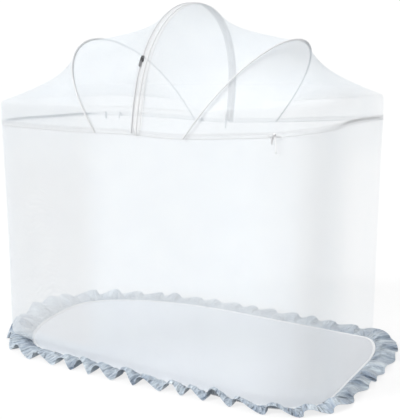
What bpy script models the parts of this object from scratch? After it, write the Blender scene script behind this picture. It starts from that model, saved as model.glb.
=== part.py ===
"""Cot mosquito net: a flat base mat with a gathered frill round it, a net wall standing on its edge,
a tape band near the top of the wall, and a tent-like net roof over three sprung hoops.

Metres, +Z up. X runs along the cot, Y away from the side the zip slider is on.
"""

import math

import bmesh
import bpy
import numpy as np
from mathutils import Matrix, Vector

# Base and wall outlines in plan: a rectangle with four unlike round corners, each as long and as
# deep as its pair says
OUTLINE_COLUMNS = (
    "left", "right", "near", "far", "near_right", "far_right", "far_left", "near_left",
)
SEAM = dict(zip(OUTLINE_COLUMNS, (
    -0.590, 0.599, -0.344, 0.334, (0.190, 0.156), (0.085, 0.220), (0.580, 0.265), (0.234, 0.390),
)))
WALL = dict(zip(OUTLINE_COLUMNS, (
    -0.603, 0.603, -0.355, 0.343, (0.190, 0.156), (0.139, 0.262), (0.580, 0.267), (0.115, 0.349),
)))

GAP = 0.0003
SHEET = 0.0012
FEET_ON_BAND = 0.0064

# Base
MAT_THICK = 0.003
BINDING_HIGH = 0.005
BINDING_IN = 0.0045
BINDING_OUT = 0.0035

# Frill round the base
FRILL_WAVES = 41
FRILL_SAMPLES = 4
FRILL_START = 0.0052
# Each row: share, reach, rise, wave, twist
FRILL_SECTION = (
    (0.00, 0.000, 0.0030, 0.0005, 0.0),
    (0.40, 0.028, 0.0100, 0.0078, 0.5),
    (1.00, 0.071, 0.0175, 0.0160, 1.1),
)
FRILL_END_EXTRA = 0.020

# Band of tape near the top of the wall; its height above the floor at bearings round the net
BAND_HIGH = 0.015
BAND_THICK = 0.001
# Each row: bearing in degrees, height
BAND_LEVELS = (
    (-173, 0.7656), (-156, 0.7655), (-147, 0.7665), (-140, 0.7613), (-126, 0.7570), (-108, 0.7569),
    (-91, 0.7588), (-71, 0.7529), (-60, 0.7513), (-47, 0.7602), (-37, 0.7684), (-28, 0.7780),
    (-21, 0.7929), (-10, 0.7971), (2, 0.7953), (16, 0.7919), (27, 0.7840), (38, 0.7738),
    (47, 0.7634), (66, 0.7550), (107, 0.7444), (128, 0.7538), (150, 0.7643), (164, 0.7668),
    (176, 0.7600),
)
EAVE_RISE = 0.070
FLARE_HIGH = 0.040

# Hoops: where each foot stands along the near and far sides, height over its feet, how far it leans
# to the right, and the power that squares its shoulders
HOOP_COLUMNS = ("near_x", "far_x", "high", "lean_deg", "power")
HOOPS = {
    "left": dict(zip(HOOP_COLUMNS, (-0.114, -0.194, 0.351, -34.3, 0.83))),
    "centre": dict(zip(HOOP_COLUMNS, (0.041, -0.041, 0.396, 6.3, 0.72))),
    "right": dict(zip(HOOP_COLUMNS, (0.203, 0.150, 0.346, 37.8, 0.85))),
}
ROD_R = 0.0020
CASING_IN = 0.0023
CASING_OUT = 0.0033
FOOT_DROP = 0.004
LEG_STEP = 0.18
LEG_STATIONS = 3
ROD_TIP = 0.006
NET_UNDER_HOOP = 0.0046
TUCK_AT_FEET = 0.0042

# Centre casing and the zip along its left edge
FLAT_HALF = 0.0120
FLAT_EDGE = 0.0006
HOLE_R = 0.00245
ZIP_WIDE = 0.0060
ZIP_THICK = 0.0022
SIDE_GAP = 0.0004
NET_EDGE_GAP = 0.0008
SLIDER_AT = 0.176
SLIDER = {"wide": 0.0090, "long": 0.0150, "thick": 0.0032}
PULL = {"wide": 0.0050, "long": 0.0210, "thick": 0.0014}

# Roof panels
AROUND = 24
BETWEEN = 3
SWEEP = 5
CAP_SAG = {"left": 0.042, "right": 0.030}
GORE_SAG = 0.032

# Ties on the band: where each sits, how long its loops are and how long its free ends
# Each row: name, x, side, loop, end
TIES = (
    ("tie_near_right", 0.476, "near", 0.017, 0.046),
    ("tie_far_left", -0.478, "far", 0.015, 0.018),
    ("tie_far_centre", -0.160, "far", 0.013, 0.016),
)
TIE_WIDE = 0.005
TIE_THICK = 0.0011
LOOP_POINTS = 10
TIE_KNOT = (0.0085, 0.0064, 0.0090)
TIE_OFF_BAND = 0.0035
TAB = {"x": -0.525, "wide": 0.008, "long": 0.026, "thick": 0.0012}
ZIP_TAB = {"wide": 0.007, "long": 0.030, "thick": 0.0012}

COLOURS = {
    "net": ((0.86, 0.90, 0.93), 0.85, 0.0),
    "base cloth": ((0.72, 0.76, 0.80), 0.90, 0.0),
    "binding": ((0.84, 0.86, 0.88), 0.85, 0.0),
    "frill cloth": ((0.31, 0.42, 0.54), 0.60, 0.0),
    "tape": ((0.70, 0.73, 0.77), 0.75, 0.0),
    "zip coil": ((0.45, 0.48, 0.52), 0.50, 0.0),
    "rod": ((0.80, 0.81, 0.82), 0.35, 0.0),
    "slider metal": ((0.06, 0.07, 0.08), 0.35, 0.9),
}

for old in list(bpy.data.objects):
    bpy.data.objects.remove(old, do_unlink=True)

parts = bpy.data.collections.new("mosquito_net_canopy")
cutters = bpy.data.collections.new("cutters")
bpy.context.scene.collection.children.link(parts)
bpy.context.scene.collection.children.link(cutters)


def paint(name):
    """The material of one kind of cloth, tape or metal."""
    found = bpy.data.materials.get(name)
    if found:
        return found
    colour, rough, metallic = COLOURS[name]
    made = bpy.data.materials.new(name)
    made.use_nodes = True
    shader = made.node_tree.nodes["Principled BSDF"]
    shader.inputs["Base Color"].default_value = (*colour, 1.0)
    shader.inputs["Roughness"].default_value = rough
    shader.inputs["Metallic"].default_value = metallic
    return made


def put(obj, material, collection=parts):
    """Files an object under the net's parts and gives it its material."""
    collection.objects.link(obj)
    obj.data.materials.append(paint(material))
    return obj


def outline(form, corner=24):
    """A fine closed outline in plan, anticlockwise from the near right corner."""
    corners = (
        (form["right"], form["near"], form["near_right"], -90),
        (form["right"], form["far"], form["far_right"], 0),
        (form["left"], form["far"], form["far_left"], 90),
        (form["left"], form["near"], form["near_left"], 180),
    )
    line = []
    for x, y, (long, deep), start in corners:
        in_x = x - math.copysign(long, x)
        in_y = y - math.copysign(deep, y)
        for turn in np.radians(np.linspace(start, start + 90, corner)):
            line.append((in_x + long * math.cos(turn), in_y + deep * math.sin(turn)))
    line = np.array(line)
    fine = []
    for here, there in zip(line, np.roll(line, -1, axis=0)):
        steps = max(1, int(np.hypot(*(there - here)) / 0.004))
        fine += [here + (there - here) * k / steps for k in range(steps)]
    return np.array(fine)


class Loop:
    """A closed outline that can be read at any share of its length, with its outward direction."""

    def __init__(self, form):
        line = outline(form)
        self.line = np.vstack([line, line[:1]])
        steps = np.hypot(*np.diff(self.line, axis=0).T)
        self.at = np.concatenate([[0.0], np.cumsum(steps)])
        self.length = self.at[-1]
        ahead, behind = np.roll(line, -2, axis=0), np.roll(line, 2, axis=0)
        out = np.stack([(ahead - behind)[:, 1], -(ahead - behind)[:, 0]], axis=1)
        out /= np.linalg.norm(out, axis=1)[:, None]
        self.out = np.vstack([out, out[:1]])
        turn = np.unwrap(np.arctan2(self.out[:, 1], self.out[:, 0]))
        self.bend = np.abs(np.gradient(turn, self.at))

    def point(self, share, offset=0.0):
        s = (share % 1.0) * self.length
        here = np.array([np.interp(s, self.at, self.line[:, k]) for k in (0, 1)])
        out = np.array([np.interp(s, self.at, self.out[:, k]) for k in (0, 1)])
        return here + out / np.linalg.norm(out) * offset

    def share_at(self, x, side):
        """The share at which the near or far side passes x."""
        pick = self.line[:, 1] < 0 if side == "near" else self.line[:, 1] > 0
        far_off = np.where(pick, np.abs(self.line[:, 0] - x), 9.0)
        return self.at[int(far_off.argmin())] / self.length

    def stations(self, start, end, count):
        """count + 1 shares from start forward to end, closer together round the corners."""
        end += 1.0 if end <= start else 0.0
        fine = np.linspace(start, end, 600)
        bend = np.interp((fine % 1.0) * self.length, self.at, self.bend)
        weight = np.concatenate([[0.0], np.cumsum(1.0 + 0.13 * bend[1:])])
        return np.interp(np.linspace(0, weight[-1], count + 1), weight, fine)


def band_level(x, y):
    """Height of the middle of the band over the floor at this place."""
    bearing = math.degrees(math.atan2(y, x))
    rows = [(a - 360, h) for a, h in BAND_LEVELS] + list(BAND_LEVELS)
    rows += [(a + 360, h) for a, h in BAND_LEVELS]
    angles, heights = zip(*rows)
    near = [np.interp(bearing + d, angles, heights) for d in (-9, -4, 0, 4, 9)]
    return float(np.mean(near))


def open_mesh(name, patches, material, thick, offset=0.0):
    """One sheet from patches of points, welded where they meet and given its thickness."""
    mesh = bpy.data.meshes.new(name)
    bm = bmesh.new()
    for patch, closed in patches:
        rows = [[bm.verts.new(p) for p in row] for row in patch]
        wide = len(rows[0])
        for low, high in zip(rows, rows[1:]):
            for k in range(wide if closed else wide - 1):
                bm.faces.new((low[k], low[(k + 1) % wide], high[(k + 1) % wide], high[k]))
    bmesh.ops.remove_doubles(bm, verts=bm.verts, dist=1e-6)
    flat = [f for f in bm.faces if f.calc_area() < 1e-10]
    bmesh.ops.delete(bm, geom=flat, context="FACES_ONLY")
    bm.to_mesh(mesh)
    bm.free()
    obj = put(bpy.data.objects.new(name, mesh), material)
    shell = obj.modifiers.new("thickness", "SOLIDIFY")
    shell.thickness = thick
    shell.offset = offset
    return obj


def flat_piece(name, loops, high, low_z, material):
    """A level piece cut to closed outlines, the first outside and the rest holes."""
    curve = bpy.data.curves.new(name, "CURVE")
    curve.dimensions = "2D"
    curve.fill_mode = "BOTH"
    curve.extrude = high / 2
    for loop in loops:
        spline = curve.splines.new("POLY")
        spline.points.add(len(loop) - 1)
        for point, (x, y) in zip(spline.points, loop):
            point.co = (x, y, 0, 1)
        spline.use_cyclic_u = True
    obj = put(bpy.data.objects.new(name, curve), material)
    obj.location.z = low_z + high / 2
    return obj


def wire(name, path, radius, material, capped=True):
    """A round bar along a path."""
    curve = bpy.data.curves.new(name, "CURVE")
    curve.dimensions = "3D"
    curve.bevel_depth = radius
    curve.bevel_resolution = 2
    curve.use_fill_caps = capped
    spline = curve.splines.new("POLY")
    spline.points.add(len(path) - 1)
    for point, place in zip(spline.points, path):
        point.co = (*place, 1)
    return put(bpy.data.objects.new(name, curve), material)


def sleeve(name, path, inside, outside, material):
    """A tube of tape round a rod, open at both ends."""
    curve = wire(name + "_curve", path, inside, material, capped=False)
    bpy.context.view_layer.update()
    seen = curve.evaluated_get(bpy.context.evaluated_depsgraph_get())
    mesh = bpy.data.meshes.new_from_object(seen)
    bpy.data.objects.remove(curve, do_unlink=True)
    mesh.name = name
    bm = bmesh.new()
    bm.from_mesh(mesh)
    bmesh.ops.remove_doubles(bm, verts=bm.verts, dist=1e-6)
    bmesh.ops.recalc_face_normals(bm, faces=bm.faces)
    bm.to_mesh(mesh)
    bm.free()
    obj = bpy.data.objects.new(name, mesh)
    parts.objects.link(obj)
    shell = obj.modifiers.new("thickness", "SOLIDIFY")
    shell.thickness = outside - inside
    shell.offset = 1.0
    return obj


def swept(name, path, across, up, section, material, hole=None, collection=parts):
    """A strip of one cross-section along a path. section and hole are (across, up) pairs."""
    mesh = bpy.data.meshes.new(name)
    bm = bmesh.new()
    outer, inner = [], []
    for place, side, rise in zip(path, across, up):
        outer.append([bm.verts.new(place + side * a + rise * b) for a, b in section])
        if hole:
            inner.append([bm.verts.new(place + side * a + rise * b) for a, b in hole])
    count = len(section)
    for rings in (outer, inner):
        for low, high in zip(rings, rings[1:]):
            for k in range(count):
                n = (k + 1) % count
                bm.faces.new((low[k], low[n], high[n], high[k]))
    for end in (0, -1):
        if hole:
            for k in range(count):
                n = (k + 1) % count
                bm.faces.new((outer[end][k], outer[end][n], inner[end][n], inner[end][k]))
        else:
            bm.faces.new(outer[end])
    bmesh.ops.recalc_face_normals(bm, faces=bm.faces)
    bm.to_mesh(mesh)
    bm.free()
    return put(bpy.data.objects.new(name, mesh), material, collection)


def block(name, size, material, collection=parts, bevel=0.0):
    """A box of the given size about its own origin."""
    mesh = bpy.data.meshes.new(name)
    bm = bmesh.new()
    bmesh.ops.create_cube(bm, size=1.0)
    bmesh.ops.scale(bm, vec=Vector(size), verts=bm.verts)
    bm.to_mesh(mesh)
    bm.free()
    obj = put(bpy.data.objects.new(name, mesh), material, collection)
    if bevel:
        edge = obj.modifiers.new("edges", "BEVEL")
        edge.width = bevel
        edge.segments = 2
    return obj


def aim(obj, place, x_axis, z_axis):
    """Places an object with its X and Z along the given directions."""
    x = Vector(x_axis).normalized()
    y = Vector(z_axis).cross(x).normalized()
    z = x.cross(y)
    obj.matrix_world = Matrix.Translation(Vector(place)) @ Matrix((x, y, z)).transposed().to_4x4()


seam = Loop(SEAM)
wall = Loop(WALL)


class Hoop:
    """One sprung hoop: its middle line, and at each station its outward and sideways directions."""

    def __init__(self, near_x, far_x, high, lean_deg, power):
        self.near, self.far = wall.share_at(near_x, "near"), wall.share_at(far_x, "far")
        feet = [wall.point(share, FEET_ON_BAND) for share in (self.near, self.far)]
        feet = [np.array([*p, band_level(*p) - FOOT_DROP]) for p in feet]
        lean = math.radians(lean_deg)
        rise = np.array([math.sin(lean), 0.0, math.cos(lean)]) * high
        turn = np.linspace(0, math.pi, 1500)
        along = (1 - np.cos(turn))[:, None] / 2
        fine = feet[0] + (feet[1] - feet[0]) * along + rise * (np.sin(turn) ** power)[:, None]
        at = np.concatenate([[0], np.cumsum(np.linalg.norm(np.diff(fine, axis=0), axis=1))])
        self.length = at[-1]
        start = at[np.argmax(fine[:, 2] > feet[0][2] + FOOT_DROP + EAVE_RISE)]
        back = at[len(fine) - 1 - np.argmax(fine[::-1, 2] > feet[1][2] + FOOT_DROP + EAVE_RISE)]
        end = self.length - back
        foot = [0, start * LEG_STEP, start * 0.55]
        head = [back + end * 0.45, back + end * (1 - LEG_STEP), self.length]
        self.at = np.concatenate([foot, np.linspace(start, back, AROUND + 1), head])
        self.path = np.stack([np.interp(self.at, at, fine[:, k]) for k in range(3)], axis=1)
        flat = np.cross(feet[1] - feet[0], rise)
        self.side = flat / np.linalg.norm(flat)
        self.out = self.outward(self.path)

    def outward(self, path):
        run = np.gradient(path, axis=0)
        out = np.cross(run, self.side)
        out /= np.linalg.norm(out, axis=1)[:, None]
        return out if out[len(out) // 2][2] > 0 else -out

    def under(self, sideways=0.0, inward=NET_UNDER_HOOP):
        """Where the net passes beneath, from eave to eave."""
        line = self.path - self.out * inward + self.side * sideways
        return line[LEG_STATIONS:-LEG_STATIONS]


hoops = {name: Hoop(**row) for name, row in HOOPS.items()}
for hoop in hoops.values():
    if hoop.side[0] < 0:
        hoop.side = -hoop.side

# Stations round the band, shared by the wall, the band and both roof panels
LEGS = (
    (hoops["centre"].near, hoops["right"].near, BETWEEN),
    (hoops["right"].near, hoops["right"].far, AROUND),
    (hoops["right"].far, hoops["centre"].far, BETWEEN),
    (hoops["centre"].far, hoops["left"].far, BETWEEN),
    (hoops["left"].far, hoops["left"].near, AROUND),
    (hoops["left"].near, hoops["centre"].near, BETWEEN),
)
legs = [wall.stations(*leg) for leg in LEGS]
ring_shares = np.concatenate([leg[:-1] for leg in legs])
ring_plan = np.array([wall.point(s) for s in ring_shares])
ring_level = np.array([band_level(*p) for p in ring_plan])


def ring_out(plan):
    """Outward directions of a closed polygon's corners, longer where it turns."""
    run = np.roll(plan, -1, axis=0) - plan
    out = np.stack([run[:, 1], -run[:, 0]], axis=1)
    out /= np.linalg.norm(out, axis=1)[:, None]
    both = out + np.roll(out, 1, axis=0)
    both /= np.linalg.norm(both, axis=1)[:, None]
    return both / np.sum(both * out, axis=1)[:, None]


# Base mat and its binding
EDGE = 72
edge_shares = seam.stations(0.0, 1.0, EDGE)[:-1]
flat_piece("base_mat", [[seam.point(s, -BINDING_IN - GAP) for s in edge_shares]],
           MAT_THICK, 0.0, "base cloth")
flat_piece("edge_binding",
           [[seam.point(s, BINDING_OUT) for s in edge_shares],
            [seam.point(s, -BINDING_IN) for s in edge_shares]],
           BINDING_HIGH, 0.0, "binding")


def frill_unevenness(share):
    """How much this fold differs from the usual, and how far it has drifted along the seam."""
    turn = 2 * math.pi * share
    height = 1.0 + 0.14 * math.sin(5 * turn + 0.6) + 0.10 * math.sin(13 * turn + 2.0)
    drift = 0.45 * math.sin(7 * turn + 1.0) + 0.30 * math.sin(11 * turn)
    return height, drift


def frill_row(share, reach, rise, wave, twist):
    """One line of the frill, round the whole base at a share of its width, crest and hollow in turn."""
    line = []
    count = FRILL_WAVES * FRILL_SAMPLES
    for k in range(count):
        height, drift = frill_unevenness(k / count)
        s = (k / FRILL_SAMPLES + (drift + twist) / (2 * math.pi)) / FRILL_WAVES
        end = max(0.0, -seam.point(s)[0] / 0.6) ** 3
        lift = math.sin(2 * math.pi * k / FRILL_SAMPLES)
        out = FRILL_START + reach * (1.0 - 0.05 * lift) + FRILL_END_EXTRA * share * end
        line.append((*seam.point(s, out), rise + wave * height * lift))
    return line


frill_rows = [frill_row(*row) for row in FRILL_SECTION]
lowest = min(p[2] for row in frill_rows for p in row)
lift = max(0.0, SHEET / 2 + 0.0006 - min(lowest, 0.003))
frill_rows = [[(x, y, z + lift * row[0] ** 0.5) for x, y, z in line]
              for row, line in zip(FRILL_SECTION, frill_rows)]
open_mesh("frill", [(frill_rows, True)], "frill cloth", SHEET)


# Net wall: stands on the binding, swings out over the frill, then rises to the band
# Each row: height, flare
WALL_SECTION = (
    (0.0, 0.00), (0.005, 0.035), (0.015, 0.32), (0.027, 0.74), (FLARE_HIGH, 1.00),
    (0.290, 1.00), (0.560, 1.00),
)


def nearest_on_seam(x, y):
    """The place on the base's edge straight inside a wall station."""
    line = seam.line[:-1]
    return line[int(((line - (x, y)) ** 2).sum(axis=1).argmin())]


foot_plan = np.array([nearest_on_seam(*p) for p in ring_plan])
bottom = BINDING_HIGH + GAP + SHEET / 3
wall_rows = []
for height, flare in WALL_SECTION:
    row = []
    for k, (inner, outer) in enumerate(zip(foot_plan, ring_plan)):
        sway = 0.004 * math.sin(math.pi * height / 0.77)
        ripple = sway * math.sin(2 * math.pi * 9 * ring_shares[k] + 0.8)
        here = inner + (outer - inner) * flare
        here = here + (outer / np.linalg.norm(outer)) * ripple
        row.append((*here, bottom + height))
    wall_rows.append(row)
wall_rows.append([(*p, z - GAP / 2) for p, z in zip(ring_plan, ring_level)])
open_mesh("net_wall", [(wall_rows, True)], "net", SHEET)

# Band of tape over the join between the wall and the roof
out = ring_out(ring_plan)
band_rows = []
for share in (-0.5, 0.5):
    plan = ring_plan + out * (SHEET / 2 + GAP + BAND_THICK / 2)
    band_rows.append([(*p, z + share * BAND_HIGH) for p, z in zip(plan, ring_level)])
band = open_mesh("band", [(band_rows, True)], "tape", BAND_THICK)
band.modifiers["thickness"].use_even_offset = True


def sagged(start, end, count, sag, share_along):
    """Points from start to end with the net's own sag between, deepest in mid-panel."""
    deep = sag * math.sin(math.pi * min(1.0, max(0.0, share_along))) ** 0.6
    rows = []
    for k in range(count + 1):
        w = k / count
        here = start + (end - start) * w
        here = here - np.array([0, 0, 1.0]) * deep * 4 * w * (1 - w)
        rows.append(here)
    return rows


def roof_panel(name, side, edge_sideways, cap, near_gore, far_gore):
    """One half of the roof, from the band round one end up over a side hoop to the centre hoop."""
    side_hoop = hoops[side]
    tuck = np.maximum(0.0, 1 - np.abs(np.arange(AROUND + 1) - [[0], [AROUND]]) / 3).max(axis=0)
    inner = slice(LEG_STATIONS, -LEG_STATIONS)
    ridge = side_hoop.under() - side_hoop.out[inner] * tuck[:, None] * TUCK_AT_FEET
    edge = hoops["centre"].under(edge_sideways, inward=0.0)
    edge = edge - hoops["centre"].out[inner] * tuck[:, None] * NET_UNDER_HOOP
    if np.linalg.norm(ridge[0] - edge[0]) > np.linalg.norm(ridge[0] - edge[-1]):
        ridge = ridge[::-1]
    gap = np.array([0, 0, GAP / 2])
    base = [np.array([*wall.point(s), band_level(*wall.point(s))]) + gap for s in cap]
    if np.linalg.norm(base[0] - ridge[0]) > np.linalg.norm(base[0] - ridge[-1]):
        base = base[::-1]
    eave = []
    for k, low in enumerate(base):
        v = k / AROUND
        high = low + (0, 0, EAVE_RISE)
        near_end = max(0.0, 1 - v / 0.12) ** 2
        far_end = max(0.0, 1 - (1 - v) / 0.12) ** 2
        eave.append(high + (ridge[0] - (base[0] + (0, 0, EAVE_RISE))) * near_end
                    + (ridge[-1] - (base[-1] + (0, 0, EAVE_RISE))) * far_end)
    patches = [([base, eave], False)]
    sag = CAP_SAG[side]
    sweep = [sagged(e, r, SWEEP, sag, k / AROUND) for k, (e, r) in enumerate(zip(eave, ridge))]
    patches.append((sweep, False))
    gore = [sagged(r, c, BETWEEN, GORE_SAG, k / AROUND) for k, (r, c) in enumerate(zip(ridge, edge))]
    patches.append((gore, False))
    for shares, top in ((near_gore, gore[0]), (far_gore, gore[-1])):
        low = [np.array([*wall.point(s), band_level(*wall.point(s))]) + gap for s in shares]
        if np.linalg.norm(low[0] - base[0]) > 1e-6 and np.linalg.norm(low[0] - base[-1]) > 1e-6:
            low = low[::-1]
        back = low[-2] - low[-1]
        low[-1] = low[-1] + back / np.linalg.norm(back) * abs(edge_sideways)
        patches.append(([low, top], False))
    obj = open_mesh(name, patches, "net", SHEET)
    bm = bmesh.new()
    bm.from_mesh(obj.data)
    bmesh.ops.recalc_face_normals(bm, faces=bm.faces)
    bm.to_mesh(obj.data)
    bm.free()
    return obj


left_edge = -(FLAT_HALF + SIDE_GAP + ZIP_WIDE + NET_EDGE_GAP)
right_edge = FLAT_HALF + NET_EDGE_GAP
roof_panel("net_roof_right", "right", right_edge, legs[1], legs[0], legs[2])
roof_panel("net_roof_left", "left", left_edge, legs[4], legs[5], legs[3])

# Rods, which stand a little out of their casings at the feet
for name, hoop in hoops.items():
    ends = [hoop.path[1] - hoop.path[0], hoop.path[-2] - hoop.path[-1]]
    tips = [end / np.linalg.norm(end) * ROD_TIP for end in ends]
    wire("rod_" + name, [hoop.path[0] - tips[0], *hoop.path, hoop.path[-1] - tips[1]], ROD_R, "rod")

# Side hoops: round casings
for name in ("left", "right"):
    sleeve("casing_" + name, hoops[name].path, CASING_IN, CASING_OUT, "tape")

# Centre hoop: flat casing with the zip along its left edge
centre = hoops["centre"]
turns = np.radians(18.0 + np.arange(10) * 36.0)
hole = [(HOLE_R * math.cos(t), HOLE_R * math.sin(t)) for t in turns]
half = [(FLAT_HALF, FLAT_EDGE), (0.0048, 0.0016), (0.0, 0.0037), (-0.0048, 0.0016), (-FLAT_HALF, FLAT_EDGE)]
lens = half + [(-a, -b) for a, b in half]
sides = [centre.side] * len(centre.path)
swept("casing_centre", centre.path, sides, centre.out, lens, "tape", hole)
zip_mid = -(FLAT_HALF + SIDE_GAP + ZIP_WIDE / 2)
zip_box = [(zip_mid + a * ZIP_WIDE / 2, b * ZIP_THICK / 2)
           for a, b in ((-1, -1), (1, -1), (1, 1), (-1, 1))]
swept("zip_coil", centre.path, sides, centre.out, zip_box, "zip coil")

# Zip slider and its pull
along = SLIDER_AT * centre.length
place = np.array([np.interp(along, centre.at, centre.path[:, k]) for k in range(3)])
step = np.array([np.interp(along + 0.01, centre.at, centre.path[:, k]) for k in range(3)])
run = (step - place) / np.linalg.norm(step - place)
outward = np.cross(run, centre.side)
outward = outward if outward[2] > 0 else -outward
middle = place + centre.side * zip_mid + outward * (ZIP_THICK / 2 + GAP + SLIDER["thick"] / 2)
slider = block("zip_slider", (SLIDER["wide"], SLIDER["long"], SLIDER["thick"]),
               "slider metal", bevel=0.0009)
aim(slider, middle, centre.side, outward)
pull = block("zip_pull", (PULL["wide"], PULL["long"], PULL["thick"]), "slider metal", bevel=0.0004)
drop = outward * (SLIDER["thick"] / 2 + GAP + PULL["thick"] / 2) - run * (PULL["long"] / 2 - 0.004)
aim(pull, middle + drop, centre.side, outward)


def on_band(x, side):
    """A place on the band's outer face: its middle, the way out, and the way along."""
    share = wall.share_at(x, side)
    plan, out_xy = wall.point(share), wall.point(share, 1.0) - wall.point(share)
    face = SHEET / 2 + GAP + BAND_THICK
    way_out = np.array([*out_xy, 0.0])
    middle = np.array([*plan, band_level(*plan)]) + way_out * face
    return middle, way_out, np.cross(np.array([0, 0, 1.0]), way_out)


def tie(name, x, side, loop, end):
    """A tape tied in a small bow on the band: a knot, two drooping loops and two free ends."""
    middle, way_out, way = on_band(x, side)
    up = np.array([0, 0, 1.0])
    knot = middle + way_out * TIE_OFF_BAND
    core = block(name, TIE_KNOT, "tape", bevel=0.0016)
    aim(core, knot, way, up)
    strip = [(a * TIE_WIDE / 2, b * TIE_THICK / 2) for a, b in ((-1, -1), (1, -1), (1, 1), (-1, 1))]
    pieces = []
    for hand in (-1, 1):
        path = []
        for k in range(LOOP_POINTS):
            turn = math.pi * k / (LOOP_POINTS - 1)
            swell = math.sin(turn)
            away = 0.0013 + loop * swell ** 0.8
            level = 0.0046 * math.cos(turn) * (0.45 + 0.55 * swell) - 0.35 * loop * swell
            path.append(knot + way * hand * away + up * level)
        rise = np.cross(np.gradient(np.array(path), axis=0), way_out)
        rise /= np.linalg.norm(rise, axis=1)[:, None]
        pieces.append(swept(f"{name}_loop{hand}", path, [way_out] * LOOP_POINTS, rise, strip, "tape",
                            collection=cutters))
        reach = end if hand > 0 else end * 0.5
        fall = [knot + up * (-0.0025 - reach * k / 6) + way_out * hand * 0.0011
                + way * hand * (0.001 + 0.005 * math.sin(k / 6 * 2.2)) for k in range(7)]
        pieces.append(swept(f"{name}_end{hand}", fall, [way] * 7, [way_out] * 7, strip, "tape",
                            collection=cutters))
    for piece in pieces:
        piece.hide_render = True
        piece.display_type = "WIRE"
        join = core.modifiers.new("join", "BOOLEAN")
        join.operation = "UNION"
        join.object = piece
    return core


for row in TIES:
    tie(*row)

middle, way_out, way = on_band(TAB["x"], "far")
tab = block("band_tab", (TAB["wide"], TAB["thick"], TAB["long"]), "tape", bevel=0.0003)
aim(tab, middle + way_out * (TAB["thick"] / 2 + GAP) - np.array([0, 0, TAB["long"] / 2 - 0.005]),
    way, (0, 0, 1))
tail = centre.path[-1] + centre.side * zip_mid
down = (centre.path[-1] - centre.path[-2]) / np.linalg.norm(centre.path[-1] - centre.path[-2])
zip_tab = block("zip_end_tab", (ZIP_TAB["wide"], ZIP_TAB["thick"], ZIP_TAB["long"]), "tape", bevel=0.0003)
aim(zip_tab, tail + down * (ZIP_TAB["long"] / 2 + GAP), centre.side, (0, 0, 1))

# Everything hangs on one empty that stands the net's box on the floor about the origin
bpy.context.view_layer.update()
graph = bpy.context.evaluated_depsgraph_get()
corners = []
for obj in parts.objects:
    seen = obj.evaluated_get(graph)
    mesh = seen.to_mesh()
    corners += [seen.matrix_world @ v.co for v in mesh.vertices]
    seen.to_mesh_clear()
corners = np.array([tuple(c) for c in corners])
low, high = corners.min(axis=0), corners.max(axis=0)
stand = bpy.data.objects.new("stand", None)
bpy.context.scene.collection.objects.link(stand)
for obj in [*parts.objects, *cutters.objects]:
    obj.parent = stand
stand.location = (-(low[0] + high[0]) / 2, -(low[1] + high[1]) / 2, -low[2])
bpy.context.view_layer.update()
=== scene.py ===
import math

import bpy
import numpy as np
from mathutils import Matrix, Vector


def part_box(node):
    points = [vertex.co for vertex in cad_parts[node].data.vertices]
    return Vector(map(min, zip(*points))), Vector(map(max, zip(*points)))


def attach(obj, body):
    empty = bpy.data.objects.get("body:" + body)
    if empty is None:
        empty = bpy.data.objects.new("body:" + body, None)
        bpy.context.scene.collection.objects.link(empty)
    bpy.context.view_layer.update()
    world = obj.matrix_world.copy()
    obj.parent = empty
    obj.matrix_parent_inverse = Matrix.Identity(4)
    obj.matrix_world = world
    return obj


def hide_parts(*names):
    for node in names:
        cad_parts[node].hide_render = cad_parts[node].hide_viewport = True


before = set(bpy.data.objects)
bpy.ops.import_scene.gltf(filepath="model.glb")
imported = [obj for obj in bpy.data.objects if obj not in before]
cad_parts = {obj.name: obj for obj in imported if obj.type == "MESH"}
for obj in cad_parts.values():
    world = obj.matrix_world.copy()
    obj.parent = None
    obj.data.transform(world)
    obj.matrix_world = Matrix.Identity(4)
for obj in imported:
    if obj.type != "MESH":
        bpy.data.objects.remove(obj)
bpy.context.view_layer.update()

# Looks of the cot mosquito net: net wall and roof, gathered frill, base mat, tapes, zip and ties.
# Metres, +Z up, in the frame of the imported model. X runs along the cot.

# Camera: 400 x 419 frame, focal length in pixels, place and turn
FRAME_WIDE = 400
FOCAL = 735.0
SENSOR_WIDE = 36.0
CAMERA_AT = (1.305, -2.080, 0.941)
CAMERA_TURN = 31.36
CAMERA_DIP = 10.93

# Base and wall outlines in plan: a rectangle whose round corners are each as long and deep as given,
# with the points of a corner and the distance between points
OUTLINE_COLUMNS = (
    "left", "right", "near", "far", "near_right", "far_right", "far_left", "near_left",
)
SEAM = dict(zip(OUTLINE_COLUMNS, (
    -0.590, 0.599, -0.344, 0.334, (0.190, 0.156), (0.085, 0.220), (0.580, 0.265), (0.234, 0.390),
)))
WALL = dict(zip(OUTLINE_COLUMNS, (
    -0.603, 0.603, -0.355, 0.343, (0.190, 0.156), (0.139, 0.262), (0.580, 0.267), (0.115, 0.349),
)))

CORNER_POINTS = 90
OUTLINE_STEP = 0.004

# Base: mat and binding, and how far the binding's stitches lie inside the seam and over the floor
MAT_THICK = 0.003
MAT_INSIDE = 0.0048
BINDING_HIGH = 0.005
BINDING_IN = 0.0045
BINDING_OUT = 0.0035
BINDING_SIDES = 14
BINDING_PUCKER = 0.07
BINDING_SEWN = (0.0026, 0.0049)
MAT_STATIONS = 241
MAT_ROWS = 101
MAT_PUCKER = 0.0007
MAT_CROWN = 0.0012
MAT_RISE_LIMITS = (-0.0012, 0.0025)
# The mat's sewn line: how far inside its edge, how deep and how wide; then a small dimple
SEWN_IN = 0.026
SEWN_DEEP = 0.0006
SEWN_WIDE = 0.0022
DIMPLE_AT = (0.52, -0.02)
DIMPLE_R = 0.012
DIMPLE_DEEP = 0.0016

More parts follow.
